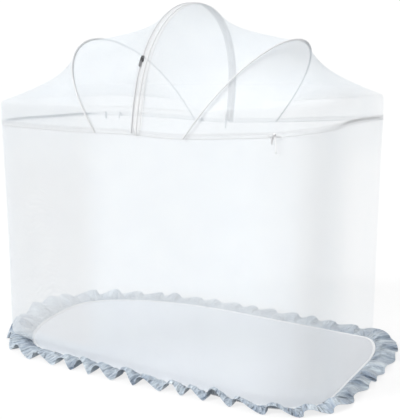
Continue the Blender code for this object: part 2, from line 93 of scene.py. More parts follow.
# Frill: folds, where it starts outside the seam, reach, height, how far the folds sink at the hem,
# its height between folds and at least, and the heights of its seam, pinches, wrinkles and bows
FRILL_FOLDS = 41
FRILL_START = 0.0035
FRILL_REACH = 0.074
FRILL_TALL = 0.037
FRILL_DROOP = 0.19
FRILL_LOW = 0.0012
FRILL_FLOOR = 0.0008
SEAM_RISE = 0.0032
PINCH_HIGH = 0.0042
WRINKLE_HIGH = 0.0046
FOLD_BOW = 0.003
# Its hem: extra thickness, the shares of the reach between which it lies, and the distance from the
# seam where its painted highlight begins
HEM_HIGH = 0.0006
HEM_RISES, HEM_FALLS = (0.925, 0.94), (0.985, 1.0)
HEM_HIGHLIGHT_FROM = 0.080
# What is drawn at random for each fold, in this order: place, height, lean, creases' phase and bow
FRILL_SEED = 11
FOLD_DRAWS = {
    "start": (-0.20, 0.20), "tall": (0.70, 1.15), "over": (0.75, 1.25), "phase": (0.0, 2 * math.pi),
    "bow": (-1.0, 1.0),
}
# How the frill differs from the near side's at its right end, on the far side, at its left end and
# round the near right corner: over which stretch that comes in, and then by what share of itself.
# Only how much longer it is at its left end is in metres
RIGHT_FROM, FAR_FROM, LEFT_FROM = (0.48, 0.60), (0.0, 0.3), (0.40, 0.55)
RIGHT_DROOPS_MORE = 1.6
AWAY_DROOPS_LESS = 0.8
RIGHT_LOWER = 0.15
FAR_LOWER = 0.38
LEFT_HIGHER = 0.40
LEFT_LONGER = 0.018
RIGHT_SHORTER = 0.06
CORNER_SHORTER = 0.47
CORNER_AT = np.array([0.40, -0.37])
CORNER_WIDE = 0.30
# One fold along the hem, from one crest to the next, as (along, height) shares
FOLD_SHAPE = (
    (0.00, 1.00), (0.11, 0.87), (0.26, 0.61), (0.42, 0.34), (0.57, 0.11),
    (0.69, 0.01), (0.775, 0.14), (0.765, 0.48), (0.785, 0.80), (0.88, 0.98),
)

# Band: width, distances of its middle and its outer face outside the wall's outline, and its
# height over the floor: each row is a bearing from the middle of the base in degrees, and a height
BAND_HIGH = 0.015
BAND_OFF = 0.0014
BAND_FACE = 0.0019
BAND_LEVELS = (
    (-173, 0.7656), (-156, 0.7655), (-147, 0.7665), (-140, 0.7613), (-126, 0.7570), (-108, 0.7569),
    (-91, 0.7588), (-71, 0.7529), (-60, 0.7513), (-47, 0.7602), (-37, 0.7684), (-28, 0.7780),
    (-21, 0.7929), (-10, 0.7971), (2, 0.7953), (16, 0.7919), (27, 0.7840), (38, 0.7738),
    (47, 0.7634), (66, 0.7550), (107, 0.7444), (128, 0.7538), (150, 0.7643), (164, 0.7668),
    (176, 0.7600),
)
# Stations round the band, as round the binding, and rows across the band
BAND_STATIONS = 900
BAND_ROWS = 7

# Net wall: gap over the binding at its foot, and the height at which it has come out over the frill
WALL_GAP = 0.0007
FLARE_HIGH = 0.040

# Hoops: feet along the near and far sides, height, lean to the right, power of the shoulders; then
# the stations along the side hoops' casings, and along the centre casing and the zip
HOOP_COLUMNS = ("near_x", "far_x", "high", "lean_deg", "power")
HOOPS = {
    "left": dict(zip(HOOP_COLUMNS, (-0.114, -0.194, 0.351, -34.3, 0.83))),
    "centre": dict(zip(HOOP_COLUMNS, (0.041, -0.041, 0.396, 6.3, 0.72))),
    "right": dict(zip(HOOP_COLUMNS, (0.203, 0.150, 0.346, 37.8, 0.85))),
}
SIDE_STATIONS = 260
CENTRE_STATIONS = 300
FEET_ON_BAND = 0.0064
FOOT_DROP = 0.004
NET_UNDER_HOOP = 0.0046
TUCK_AT_FEET = 0.0042
CASING_R = 0.0025
CASING_FLANGE = 0.0060
FLAT_HALF = 0.0120
ZIP_WIDE = 0.0060
ZIP_MID = -0.0154
ZIP_PITCH = 0.0013
LEFT_EDGE = -0.0192
RIGHT_EDGE = 0.0128
SLIDER_AT = 0.176

# Roof: its eave's height over the band, the sag of its panels, and the rows up from the band to the
# eave, on to the side hoop, and to the centre hoop
EAVE_RISE = 0.070
CAP_SAG = {"left": 0.045, "right": 0.033}
GORE_SAG = 0.031
UPRIGHT_ROWS = 9
CAP_ROWS = 31
GORE_ROWS = 17
RIDGE_ROW = UPRIGHT_ROWS + CAP_ROWS - 2

# Painted shade on the net: how much thicker and greyer its threads are drawn where shade falls, as a
# share; below nought they are drawn thinner, which paints light where it is unlit. First on the wall,
# with distances in metres round it from where the near right corner starts: ahead round the right
# end, or behind along the near side
NET_SHADE_RIGHT = 0.27
NET_SHADE_RIGHT_RISES = (0.100, 0.145)
NET_SHADE_RIGHT_FALLS = (0.22, 0.77)
NET_SHADE_LEFT = 0.62
NET_SHADE_LEFT_RISES, NET_SHADE_LEFT_FALLS = (-1.02, -0.84), (-0.62, -0.50)
# Painted light: the net round the right end, which is unlit, is drawn thinner to look as bright as the
# rest
NET_LIGHT_RIGHT = 0.95
NET_LIGHT_RIGHT_RISES, NET_LIGHT_RIGHT_FALLS = (0.145, 0.42), (0.9, 1.2)
# Then on the roof, in the rows above the band: painted shade at the eaves, and beyond these places
# its right end is drawn opener, which paints light where it is unlit
EAVE_SHADE = 0.2
EAVE_ROWS = (9, 22)
EAVE_LIGHT_FROM = (0.40, 0.58)
# Last, the same distances for where the band's tape is drawn greyer and closer at both ends, which
# paints shade there
BAND_SHADE_RIGHT = 0.62
BAND_RIGHT_RISES, BAND_RIGHT_FALLS = (0.18, 0.36), (0.50, 0.72)
BAND_LEFT_RISES, BAND_LEFT_FALLS = (-1.55, -1.40), (-1.10, -0.95)

# Ties on the band: name, place along the cot, side, loop length and free end
TIES = (
    ("tie_near_right", 0.476, "near", 0.017, 0.046),
    ("tie_far_left", -0.478, "far", 0.015, 0.018),
    ("tie_far_centre", -0.160, "far", 0.013, 0.016),
)
TIE_WIDE = 0.005
TIE_THICK = 0.0007
TIE_OFF_BAND = 0.0040
TAB_X = -0.525

# Net: distance between holes, and half a thread as a share of it
NET_PITCH = 0.0014
NET_LINE = 0.057
NET_THICK = 0.0003
CLOTH_THICK = 0.0007
UP = np.array([0.0, 0.0, 1.0])

# Stitches: length and pitch; places along one, its girth and its rise there in radii; its sides
STITCH_LONG = 0.0026
STITCH_PITCH = 0.0036
STITCH_AT = np.array([0.0, 0.12, 0.5, 0.88, 1.0])
STITCH_GIRTH = np.array([0.15, 0.8, 1.0, 0.8, 0.15])
STITCH_RISE = np.array([-0.7, 0.0, 0.25, 0.0, -0.7])
STITCH_SIDES = 5

# Piping along the band and the centre casing
CORD_R = 0.0007
CORD_SECTION = [(CORD_R * math.cos(t), CORD_R * math.sin(t)) for t in np.radians(np.arange(8) * 45)]

# Zip: teeth as six-sided rods, half as wide, high and long as given, lifted and set off to each side
# in turn; slider plates' outline, and the heights of their faces; post, bridge and pull
TOOTH_CORNERS = ((-1, -0.55), (-1, 0.55), (-0.45, 1), (0.45, 1), (1, 0.55), (1, -0.55))
TOOTH_HALF = (0.00125, 0.00042, 0.00042)
TOOTH_RISE = 0.0007
TOOTH_SHIFT = 0.00035
ZIP_TAPE_HALF = 0.0003
SLIDER_PLAN = (
    (-0.0048, -0.0080), (0.0048, -0.0080), (0.0056, -0.0020), (0.0046, 0.0050),
    (0.0042, 0.0110), (-0.0042, 0.0110), (-0.0046, 0.0050), (-0.0056, -0.0020),
)
SLIDER_PLATES = ((0.0016, 0.0026), (-0.0022, -0.0012))
POST_AT = 0.004
POST_HALF = (0.0008, 0.0012)
POST_FACES = (-0.0013, 0.0017)
BRIDGE_HALF = (0.0010, 0.0004)
PULL_FACES = (0.0034, 0.0046)
PULL_AT = 0.002
PULL_STEPS = 24

# Where along the cot the mat's right end greys, which paints shade there
RIGHT_SHADE_FROM = (0.32, 0.60)

# How grey and close each hoop's casing is drawn, which paints the shade on the hoop's line, as places
# along the hoop from its near foot and values there
CASING_SHADE = {
    "left": ((0.0, 0.14, 0.25, 0.60, 0.66, 0.96, 1.0), (0.2, 0.2, 0.9, 0.9, 0.0, 0.0, 0.4)),
    "right": ((0.0, 0.06, 0.12, 0.30, 0.36, 0.50, 0.60, 1.0), (0.2, 0.1, 0.0, 0.0, 0.1, 0.3, 0.9, 0.9)),
    "centre": ((0.0, 0.30, 0.46, 0.54, 0.90, 1.0), (0.0, 0.0, 0.35, 0.5, 0.6, 0.9)),
}

# Studio: how much the floor sends back, how much whiter the camera sees it, how much it adds to
# the light from below, the light all round, and how bright that is seen
FLOOR_ALBEDO = 0.21
FLOOR_GLOW = 0.77
FLOOR_FILL = 0.30
SURROUND = 0.80
SURROUND_SEEN = 1.03


# ---- Finishes -------------------------------------------------------------------------------

class Finish:
    """One material: its Principled shader and short ways to add nodes."""

    def __init__(self, name, colour, roughness, **sockets):
        self.made = bpy.data.materials.new(name)
        self.made.use_nodes = True
        self.tree = self.made.node_tree
        self.shader = self.tree.nodes["Principled BSDF"]
        self.shader.inputs["Base Color"].default_value = (*colour, 1.0)
        self.shader.inputs["Roughness"].default_value = roughness
        for socket, value in sockets.items():
            self.shader.inputs[socket.replace("_", " ")].default_value = value

    def put(self, socket, value):
        """Links another node's output to a socket, or sets the socket itself."""
        if isinstance(value, bpy.types.NodeSocket):
            self.tree.links.new(value, socket)
        else:
            socket.default_value = value

    def node(self, kind, values=(), **settings):
        made = self.tree.nodes.new(kind)
        for name, value in settings.items():
            setattr(made, name, value)
        for key, value in dict(values).items():
            self.put(made.inputs[key], value)
        return made

    def math(self, operation, *values):
        return self.node("ShaderNodeMath", enumerate(values), operation=operation).outputs[0]

    def vector(self, operation, *values, out="Vector"):
        made = self.node("ShaderNodeVectorMath", enumerate(values), operation=operation)
        return made.outputs[out]

    def flat(self, x=1.0, y=1.0):
        """The piece's own flat coordinates in metres, stretched by x and y."""
        uv = self.node("ShaderNodeUVMap", uv_map="metres").outputs[0]
        return self.vector("MULTIPLY", uv, (x, y, 1.0))

    def place(self):
        """The place on the object in metres."""
        return self.node("ShaderNodeTexCoord").outputs["Object"]

    def noise(self, where, scale, detail=3.0, rough=0.5):
        values = {"Vector": where, "Scale": scale, "Detail": detail, "Roughness": rough}
        return self.node("ShaderNodeTexNoise", values).outputs["Fac"]

    def ramp(self, value, low, high, start=0.0, end=1.0):
        values = {"Value": value, "From Min": low, "From Max": high, "To Min": start, "To Max": end}
        return self.node("ShaderNodeMapRange", values, clamp=True).outputs[0]

    def mix(self, share, first, second):
        """A colour between two, each of them a node's output or three numbers."""
        made = self.node("ShaderNodeMix", data_type="RGBA")
        for socket, value in zip((0, 6, 7), (share, first, second)):
            self.put(made.inputs[socket], (*value, 1.0) if isinstance(value, tuple) else value)
        return made.outputs[2]

    def bump(self, height, strength, distance, under=None):
        values = {"Height": height, "Strength": strength, "Distance": distance}
        if under:
            values["Normal"] = under
        return self.node("ShaderNodeBump", values).outputs[0]

    def feed(self, **sockets):
        for socket, value in sockets.items():
            self.tree.links.new(value, self.shader.inputs[socket.replace("_", " ")])

    def threads(self, pitch):
        """Height of a plain weave with this thread pitch: over, under, over."""
        turns = math.pi / pitch
        uv = self.node("ShaderNodeSeparateXYZ", {0: self.flat(turns, turns)})
        across = self.math("SINE", uv.outputs[0])
        along = self.math("SINE", uv.outputs[1])
        checks = self.math("MULTIPLY", across, along)
        return self.math("ADD", self.math("MULTIPLY", checks, 0.5), 0.5)


def cloth(name, colour, deep, pitch, roughness=0.85, sheen=0.25, crease=0.0006, patch=9.0,
          right_shade=None):
    """A woven cloth: thread bump, soft creases, slow changes of tone, and a right end that may be
    painted darker as shade.
    """
    made = Finish(name, colour, roughness, Sheen_Weight=sheen, Sheen_Roughness=0.4,
                  Specular_IOR_Level=0.3)
    weave = made.threads(pitch)
    slow = made.noise(made.place(), patch, 3.0)
    fine = made.noise(made.flat(1.0, 0.35), 260.0, 3.0, 0.6)
    tone = made.math("ADD", made.math("MULTIPLY", slow, 0.75), made.math("MULTIPLY", weave, 0.25))
    body = made.mix(made.ramp(tone, 0.30, 0.70), deep, colour)
    # Painted shade: the cloth darkens towards the right end
    if right_shade:
        ends = made.node("ShaderNodeSeparateXYZ", {0: made.place()}).outputs[0]
        body = made.mix(made.ramp(ends, *RIGHT_SHADE_FROM), body, right_shade)
    made.feed(Base_Color=body)
    soft = made.bump(made.noise(made.place(), 42.0, 4.0, 0.55), 0.6, crease)
    yarn = made.bump(fine, 0.35, 0.0002, soft)
    made.feed(Normal=made.bump(weave, 0.5, pitch * 0.25, yarn))
    made.feed(Roughness=made.ramp(slow, 0.3, 0.7, roughness - 0.08, min(1.0, roughness + 0.08)))
    return made.made


def netting():
    """Knitted net: six-sided holes between fine threads, drawn thicker and greyer as painted shade, and
    thinner as painted light.
    """
    made = Finish("net", (0.88, 0.93, 0.97), 0.75, Sheen_Weight=0.1, Specular_IOR_Level=0.2)
    root = math.sqrt(3.0)
    cells = made.flat(1.0 / NET_PITCH, 1.0 / NET_PITCH)
    half, back = (0.5, root / 2, 0.5), (-0.5, -root / 2, -0.5)
    first = made.vector("WRAP", cells, half, back)
    second = made.vector("WRAP", made.vector("ADD", cells, (0.5, root / 2, 0.0)), half, back)
    nearer = made.math("LESS_THAN", made.vector("LENGTH", second, out="Value"),
                       made.vector("LENGTH", first, out="Value"))
    step = made.vector("SUBTRACT", second, first)
    scaled = made.node("ShaderNodeVectorMath", {0: step, "Scale": nearer}, operation="SCALE")
    cell = made.vector("ABSOLUTE", made.vector("ADD", first, scaled.outputs[0]))
    flat_side = made.vector("DOT_PRODUCT", cell, (1.0, 0.0, 0.0), out="Value")
    slant_side = made.vector("DOT_PRODUCT", cell, (0.5, root / 2, 0.0), out="Value")
    rim = made.math("SUBTRACT", 0.5, made.math("MAXIMUM", flat_side, slant_side))
    # Painted shade and light: threads drawn thicker where the net is in shade and thinner where it is
    # unlit
    net_shade = made.node("ShaderNodeAttribute", attribute_name="net_shade").outputs["Fac"]
    line = made.math("MULTIPLY_ADD", net_shade, NET_LINE * 0.75, NET_LINE)
    uneven = made.noise(made.flat(), 38.0, 2.0)
    line = made.math("MULTIPLY", line, made.ramp(uneven, 0.3, 0.7, 0.94, 1.06))
    thread = made.node("ShaderNodeMapRange", {"Value": rim, "From Min": line,
                       "From Max": made.math("MULTIPLY", line, 1.2), "To Min": 1.0,
                       "To Max": 0.0}).outputs[0]
    made.feed(Alpha=thread)
    tone = made.noise(made.place(), 14.0, 2.0)
    single = made.mix(made.ramp(tone, 0.3, 0.7), (0.86, 0.91, 0.955), (0.90, 0.95, 0.98))
    # Painted shade: the threads turn greyer where they are drawn thicker
    made.feed(Base_Color=made.mix(net_shade, single, (0.84, 0.83, 0.825)))
    made.feed(Normal=made.bump(rim, 0.5, 0.0002))
    return made.made


def satin():
    """The frill's smooth grey-blue cloth, painted darker in its creases and lighter on their ridges,
    with a painted highlight along the hem.
    """
    made = Finish("frill cloth", (0.36, 0.44, 0.52), 0.42, Sheen_Weight=0.35, Sheen_Roughness=0.35,
                  Specular_IOR_Level=0.45)
    slow = made.noise(made.place(), 16.0, 3.0)
    crease_relief_and_shade = made.noise(made.flat(1.0, 0.22), 90.0, 3.0, 0.6)
    tone = made.math("ADD", made.math("MULTIPLY", slow, 0.5), made.math("MULTIPLY", crease_relief_and_shade, 0.5))
    # Partly random tone, partly painted shade and highlight: dark in the creases' streaks, light on
    # their ridges
    body = made.mix(made.ramp(tone, 0.32, 0.68), (0.19, 0.255, 0.36), (0.80, 0.88, 0.93))
    across = made.node("ShaderNodeSeparateXYZ", {0: made.flat()}).outputs[1]
    # Painted highlight: the hem is drawn lighter from where it turns over
    hem = made.ramp(across, HEM_HIGHLIGHT_FROM, HEM_HIGHLIGHT_FROM + 0.001)
    made.feed(Base_Color=made.mix(hem, body, (0.72, 0.79, 0.84)))
    large = made.noise(made.flat(1.0, 0.30), 34.0, 2.0, 0.5)
    creases = made.bump(crease_relief_and_shade, 1.0, 0.0160, made.bump(large, 1.0, 0.034))
    weave = made.bump(made.threads(0.0004), 0.35, 0.0001, creases)
    made.feed(Normal=weave)
    made.feed(Roughness=made.ramp(slow, 0.3, 0.7, 0.36, 0.52))
    return made.made


def sheer_tape(name, closed, holes):
    """A sheer tape, drawn closer and greyer as painted shade where its shade attribute says."""
    made = Finish(name, (0.93, 0.94, 0.96), 0.7, Sheen_Weight=0.2, Specular_IOR_Level=0.3)
    tape_shade = made.node("ShaderNodeAttribute", attribute_name="tape_shade").outputs["Fac"]
    weave = made.threads(0.0006)
    slow = made.noise(made.flat(1.0, 2.0), 60.0, 3.0)
    sheer = made.mix(made.ramp(slow, 0.3, 0.7), (0.90, 0.91, 0.93), (0.95, 0.96, 0.97))
    # Painted shade: the closed colour is the greyer tape drawn where shade falls
    made.feed(Base_Color=made.mix(tape_shade, sheer, closed))
    line = made.ramp(tape_shade, 0.0, 1.0, holes, 0.0)
    made.feed(Alpha=made.ramp(made.math("SUBTRACT", weave, line), -0.05, 0.05))
    made.feed(Normal=made.bump(weave, 0.5, 0.0002))
    return made.made


def plain(name, colour, roughness, metallic=0.0, grain=900.0, depth=0.0001):
    """A hard or thread-like surface with a fine grain."""
    made = Finish(name, colour, roughness, Metallic=metallic)
    fine = made.noise(made.place(), grain, 3.0)
    deep = tuple(c * 0.82 for c in colour)
    made.feed(Base_Color=made.mix(made.ramp(fine, 0.35, 0.65), deep, colour))
    made.feed(Normal=made.bump(fine, 0.4, depth))
    made.feed(Roughness=made.ramp(fine, 0.3, 0.7, max(0.1, roughness - 0.07), roughness + 0.07))
    return made.made


FINISHES = {
    "net": netting(),
    "mat": cloth("base cloth", (0.78, 0.795, 0.84), (0.715, 0.735, 0.755), 0.0006, roughness=0.9,
                 sheen=0.2, crease=0.0008, patch=2.0, right_shade=(0.695, 0.705, 0.725)),
    "binding": cloth("binding", (0.94, 0.945, 0.95), (0.90, 0.905, 0.92), 0.0005, sheen=0.2),
    "frill": satin(),
    "tape": cloth("tape", (0.93, 0.93, 0.94), (0.88, 0.885, 0.90), 0.0007, roughness=0.75,
                  sheen=0.3, crease=0.0002),
    # The sheer tapes' closed colours are painted shade, greyest on the band's ends
    "casing": sheer_tape("hoop casing", (0.80, 0.815, 0.83), 0.90),
    "wide": sheer_tape("centre casing", (0.77, 0.775, 0.785), 0.84),
    "band": sheer_tape("band tape", (0.56, 0.565, 0.575), 0.84),
    "cord": plain("cord", (0.90, 0.91, 0.92), 0.7, grain=1500.0),
    "thread": plain("thread", (0.93, 0.935, 0.94), 0.7, grain=2200.0),
    "coil": plain("zip coil", (0.60, 0.62, 0.65), 0.45),
    "rod": plain("rod", (0.96, 0.965, 0.97), 0.5),
    "metal": plain("slider metal", (0.025, 0.027, 0.03), 0.45, 0.3, grain=1400.0, depth=0.00005),
    "pull": plain("slider pull", (0.15, 0.155, 0.165), 0.55, grain=1400.0, depth=0.00005),
}


# ---- Lines and numbers ----------------------------------------------------------------------

def smooth(value, low=0.0, high=1.0):
    """Nought below low, one above high, and a smooth rise between."""
    t = np.clip((value - low) / (high - low), 0.0, 1.0)
    return t * t * (3 - 2 * t)


def between(value, rises, falls):
    """One between two stretches, with a smooth rise over the first and a smooth fall over the last."""
    return smooth(value, *rises) * (1 - smooth(value, *falls))


def squarer(wave):
    """A sine or cosine pushed out a little towards a square wave, its sign kept."""
    return math.copysign(abs(wave) ** 0.8, wave)


def crowded(start, end, count):
    """Count places from start to end, closer together towards both."""
    return start + (end - start) * (1 - np.cos(np.linspace(0.0, math.pi, count))) / 2


def unit(ways):
    """The same directions with a length of one."""
    return ways / np.linalg.norm(ways, axis=-1, keepdims=True)


def distances(path):
    """How far along a path each of its points lies."""
    return np.concatenate([[0.0], np.cumsum(np.linalg.norm(np.diff(path, axis=0), axis=1))])


def read_at(where, at, points):
    """Points of a line at the distances where, given its points and their distances at."""
    return np.stack([np.interp(where, at, column) for column in points.T], axis=-1)


def oblong(half_wide, half_high):
    """The four corners of an oblong, anticlockwise."""
    return [(-half_wide, -half_high), (half_wide, -half_high), (half_wide, half_high),
            (-half_wide, half_high)]


# ---- Meshes ---------------------------------------------------------------------------------

def stand():
    """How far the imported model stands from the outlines' own origin."""
    low, high = (np.array(v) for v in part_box("edge_binding"))
    middle = np.array([SEAM["left"] + SEAM["right"], SEAM["near"] + SEAM["far"], 0.0]) / 2
    place = (low + high) / 2 - middle
    return np.array([place[0], place[1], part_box("base_mat")[0][2]])


STAND = stand()


def placed(name, data):
    """A new object of the scene."""
    made = bpy.data.objects.new(name, data)
    bpy.context.scene.collection.objects.link(made)
    return made


def piece(name, points, faces, finish, nodes=(), slot=None, uv=None, rounded=True):
    """A mesh piece that rides on the net's body and stands for the given CAD nodes."""
    mesh = bpy.data.meshes.new(name)
    mesh.from_pydata((np.asarray(points, float) + STAND).tolist(), [],
                     [tuple(int(k) for k in face) for face in faces])
    mesh.polygons.foreach_set("use_smooth", [rounded] * len(mesh.polygons))
    if uv is not None:
        layer = mesh.uv_layers.new(name="metres")
        layer.data.foreach_set("uv", np.asarray(uv, np.float32).ravel())
    mesh.update()
    made = placed(name, mesh)
    mesh.materials.append(FINISHES[finish])
    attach(made, "root")
    if nodes:
        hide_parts(*nodes)
    return made


def run_lengths(rows):
    """Mean distance along a grid's stations and along its rows, from nought."""
    rows = np.asarray(rows)
    along = np.linalg.norm(np.diff(rows, axis=1), axis=2).mean(axis=0)
    across = np.linalg.norm(np.diff(rows, axis=0), axis=2).mean(axis=1)
    return np.concatenate([[0.0], np.cumsum(along)]), np.concatenate([[0.0], np.cumsum(across)])


def grid(name, rows, finish, nodes=(), slot=None, closed=False, thick=0.0, offset=0.0, flip=False):
    """A sheet through rows of stations, with its flat coordinates in metres."""
    rows = np.asarray(rows, float)
    high, wide = rows.shape[:2]
    full = np.concatenate([rows, rows[:, :1]], axis=1) if closed else rows
    u, v = run_lengths(full)
    cols = wide if closed else wide - 1
    row, col = (k.ravel() for k in np.meshgrid(np.arange(high - 1), np.arange(cols), indexing="ij"))
    corners = ((0, 0), (1, 0), (1, 1), (0, 1))
    faces = np.stack([(row + b) * wide + (col + a) % wide for a, b in corners], axis=1)
    uv = np.stack([np.stack([u[col + a], v[row + b]], axis=1) for a, b in corners], axis=1)
    if flip:
        faces, uv = faces[:, ::-1], uv[:, ::-1]
    made = piece(name, rows.reshape(-1, 3), faces, finish, nodes, slot, uv)
    if thick:
        shell = made.modifiers.new("thickness", "SOLIDIFY")
        shell.thickness = thick
        shell.offset = offset
    return made


def mark(made, name, values):
    """Gives each of a piece's points a value that its finish reads by name."""
    kept = made.data.attributes.new(name, "FLOAT", "POINT")
    kept.data.foreach_set("value", np.asarray(values, np.float32).ravel())


def ease_edges(made, wide):
    """Bevels the sharp edges of a hard piece."""
    edge = made.modifiers.new("edges", "BEVEL")
    edge.width = wide
    edge.segments = 2
    edge.limit_method = "ANGLE"


def across_path(path, hint):
    """Two directions across a path: one square to hint, and one as near to hint as it can be."""
    run = unit(np.gradient(path, axis=0))
    side = unit(np.cross(run, hint))
    return side, np.cross(side, run)


def ring_faces(count, around, first=0):
    """Faces of a closed tube through count rings of points, numbered from first, with its ends."""
    faces = []
    for low in range(first, first + (count - 1) * around, around):
        faces += [(low + k, low + (k + 1) % around, low + around + (k + 1) % around, low + around + k)
                  for k in range(around)]
    last = first + (count - 1) * around
    return faces + [tuple(range(first + around - 1, first - 1, -1)), tuple(range(last, last + around))]


def swept(name, path, side, out, section, finish, nodes=(), slot=None):
    """A closed section, in (side, out) pairs, carried along a path, with its ends closed."""
    section = np.asarray(section, float)
    if section.ndim == 2:
        section = np.repeat(section[None], len(path), axis=0)
    rings = (path[:, None] + side[:, None] * section[..., :1] + out[:, None] * section[..., 1:])
    count, around = section.shape[:2]
    along = distances(path)
    girth = distances(np.concatenate([section[0], section[0][:1]]))
    uv = []
    for k in range(count - 1):
        for j in range(around):
            uv += [(along[k], girth[j]), (along[k], girth[j + 1]),
                   (along[k + 1], girth[j + 1]), (along[k + 1], girth[j])]
    uv += [tuple(corner) for corner in [*section[0][::-1], *section[-1]]]
    return piece(name, rings.reshape(-1, 3), ring_faces(count, around), finish, nodes, slot, uv)


def stitches(name, path, out, radius, length=STITCH_LONG, pitch=STITCH_PITCH, closed=False):
    """Sewing stitches along a path: short rounded threads that dip into the cloth at each end."""
    at = distances(path)
    starts = np.arange(0.0, at[-1] - (pitch if closed else length), pitch)
    where = starts[:, None] + STITCH_AT * length
    line, rise = read_at(where, at, path), read_at(where, at, out)
    run = np.broadcast_to(unit(line[:, -1:] - line[:, :1]), line.shape)
    side = np.cross(run, rise)
    line = line + rise * (STITCH_RISE * radius)[None, :, None]
    turns = np.radians(np.arange(STITCH_SIDES) * 360.0 / STITCH_SIDES)
    girth = STITCH_GIRTH[None, :, None, None]
    rings = (line[:, :, None] + side[:, :, None] * (np.cos(turns)[:, None] * radius) * girth
             + rise[:, :, None] * (np.sin(turns)[:, None] * radius) * girth)
    faces = []
    for s in range(len(starts)):
        faces += ring_faces(len(STITCH_AT), STITCH_SIDES, s * len(STITCH_AT) * STITCH_SIDES)
    piece(name, rings.reshape(-1, 3), faces, "thread", slot="tape")


# ---- Lines of the frame, as in the CAD ------------------------------------------------------

def outline(form):
    """A fine closed outline in plan, anticlockwise from the near right corner."""
    corners = (
        (form["right"], form["near"], form["near_right"], -90),
        (form["right"], form["far"], form["far_right"], 0),
        (form["left"], form["far"], form["far_left"], 90),
        (form["left"], form["near"], form["near_left"], 180),
    )
    line = []
    for x, y, (long, deep), start in corners:
        in_x = x - math.copysign(long, x)
        in_y = y - math.copysign(deep, y)
        for turn in np.radians(np.linspace(start, start + 90, CORNER_POINTS)):
            line.append((in_x + long * math.cos(turn), in_y + deep * math.sin(turn)))
    line = np.array(line)
    fine = []
    for here, there in zip(line, np.roll(line, -1, axis=0)):
        steps = max(1, int(np.hypot(*(there - here)) / OUTLINE_STEP))
        fine += [here + (there - here) * k / steps for k in range(steps)]
    return np.array(fine)


class Loop:
    """A closed outline that can be read at any share of its length, with its outward direction."""

    def __init__(self, form):
        line = outline(form)
        self.line = np.vstack([line, line[:1]])
        self.at = distances(self.line)
        self.length = self.at[-1]
        run = np.roll(line, -3, axis=0) - np.roll(line, 3, axis=0)
        out = unit(np.stack([run[:, 1], -run[:, 0]], axis=1))
        self.way = np.vstack([out, out[:1]])
        turn = np.unwrap(np.arctan2(self.way[:, 1], self.way[:, 0]))
        self.bend = np.abs(np.gradient(turn, self.at))

    def out(self, share):
        return unit(read_at(np.mod(share, 1.0) * self.length, self.at, self.way))

    def point(self, share, offset=0.0):
        here = read_at(np.mod(share, 1.0) * self.length, self.at, self.line)
        return here + self.out(share) * np.asarray(offset)[..., None]

    def share_at(self, x, side):
        """The share at which the near or far side passes x."""
        pick = self.line[:, 1] < 0 if side == "near" else self.line[:, 1] > 0
        far_off = np.where(pick, np.abs(self.line[:, 0] - x), 9.0)
        return self.at[int(far_off.argmin())] / self.length

    def stations(self, start, end, count):
        """count + 1 shares from start forward to end, closer together round the corners."""
        end += 1.0 if end <= start else 0.0
        fine = np.linspace(start, end, 600)
        bend = np.interp((fine % 1.0) * self.length, self.at, self.bend)
        weight = np.concatenate([[0.0], np.cumsum(1.0 + 0.13 * bend[1:])])
        return np.interp(np.linspace(0, weight[-1], count + 1), weight, fine)


def band_level(plan):
    """Height of the middle of the band over the floor at places in plan."""
    plan = np.asarray(plan)
    bearing = np.degrees(np.arctan2(plan[..., 1], plan[..., 0]))
    rows = [(a + turn, h) for turn in (-360, 0, 360) for a, h in BAND_LEVELS]
    angles, heights = zip(*rows)
    return np.mean([np.interp(bearing + d, angles, heights) for d in (-9, -4, 0, 4, 9)], axis=0)


def lifted(plan, level):
    """Points in plan with their heights."""
    level = np.broadcast_to(level, np.shape(plan)[:-1])
    return np.concatenate([plan, level[..., None]], axis=-1)


seam = Loop(SEAM)
wall = Loop(WALL)


class Hoop:
    """One sprung hoop: its middle line, the stretch above the eave, and its own flat."""

    def __init__(self, near_x, far_x, high, lean_deg, power):
        self.near, self.far = wall.share_at(near_x, "near"), wall.share_at(far_x, "far")
        plan = wall.point(np.array([self.near, self.far]), FEET_ON_BAND)
        feet = lifted(plan, band_level(plan) - FOOT_DROP)
        lean = math.radians(lean_deg)
        rise = np.array([math.sin(lean), 0.0, math.cos(lean)]) * high
        turn = np.linspace(0, math.pi, 1500)
        along = (1 - np.cos(turn))[:, None] / 2
        self.fine = feet[0] + (feet[1] - feet[0]) * along + rise * (np.sin(turn) ** power)[:, None]
        self.at = distances(self.fine)
        self.length = self.at[-1]
        self.start = self.at[np.argmax(self.fine[:, 2] > feet[0][2] + FOOT_DROP + EAVE_RISE)]
        above = self.fine[::-1, 2] > feet[1][2] + FOOT_DROP + EAVE_RISE
        self.back = self.at[len(turn) - 1 - np.argmax(above)]
        self.side = unit(np.cross(feet[1] - feet[0], rise))
        if self.side[0] < 0:
            self.side = -self.side

    def read(self, at):
        """Places along the hoop, and its outward direction there."""
        path = read_at(at, self.at, self.fine)
        out = unit(np.cross(np.gradient(path, axis=0), self.side))
        return path, out if out[len(out) // 2][2] > 0 else -out

    def whole(self, count):
        """Count stations from foot to foot, with the directions sideways and outward there."""
        path, out = self.read(np.linspace(0.0, self.length, count))
        return path, np.tile(self.side, (count, 1)), out

    def under(self, count, sideways=0.0, inward=NET_UNDER_HOOP):
        """Where the net passes beneath, from eave to eave, and the outward direction there."""
        path, out = self.read(np.linspace(self.start, self.back, count + 1))
        return path - out * inward + self.side * sideways, out


hoops = {name: Hoop(**row) for name, row in HOOPS.items()}


# ---- Base mat and binding -------------------------------------------------------------------

def side_y(form, x, side):
    """Where the near or far side of an outline lies at x."""
    sign = -1 if side == "near" else 1
    y = np.full(np.shape(x), form[side], float)
    for end in ("left", "right"):
        long, deep = form[f"{side}_{end}"]
        into = np.clip(1 - np.abs(x - form[end]) / long, 0.0, 1.0)
        y = y - sign * deep * (1 - np.sqrt(1 - into ** 2))
    return y


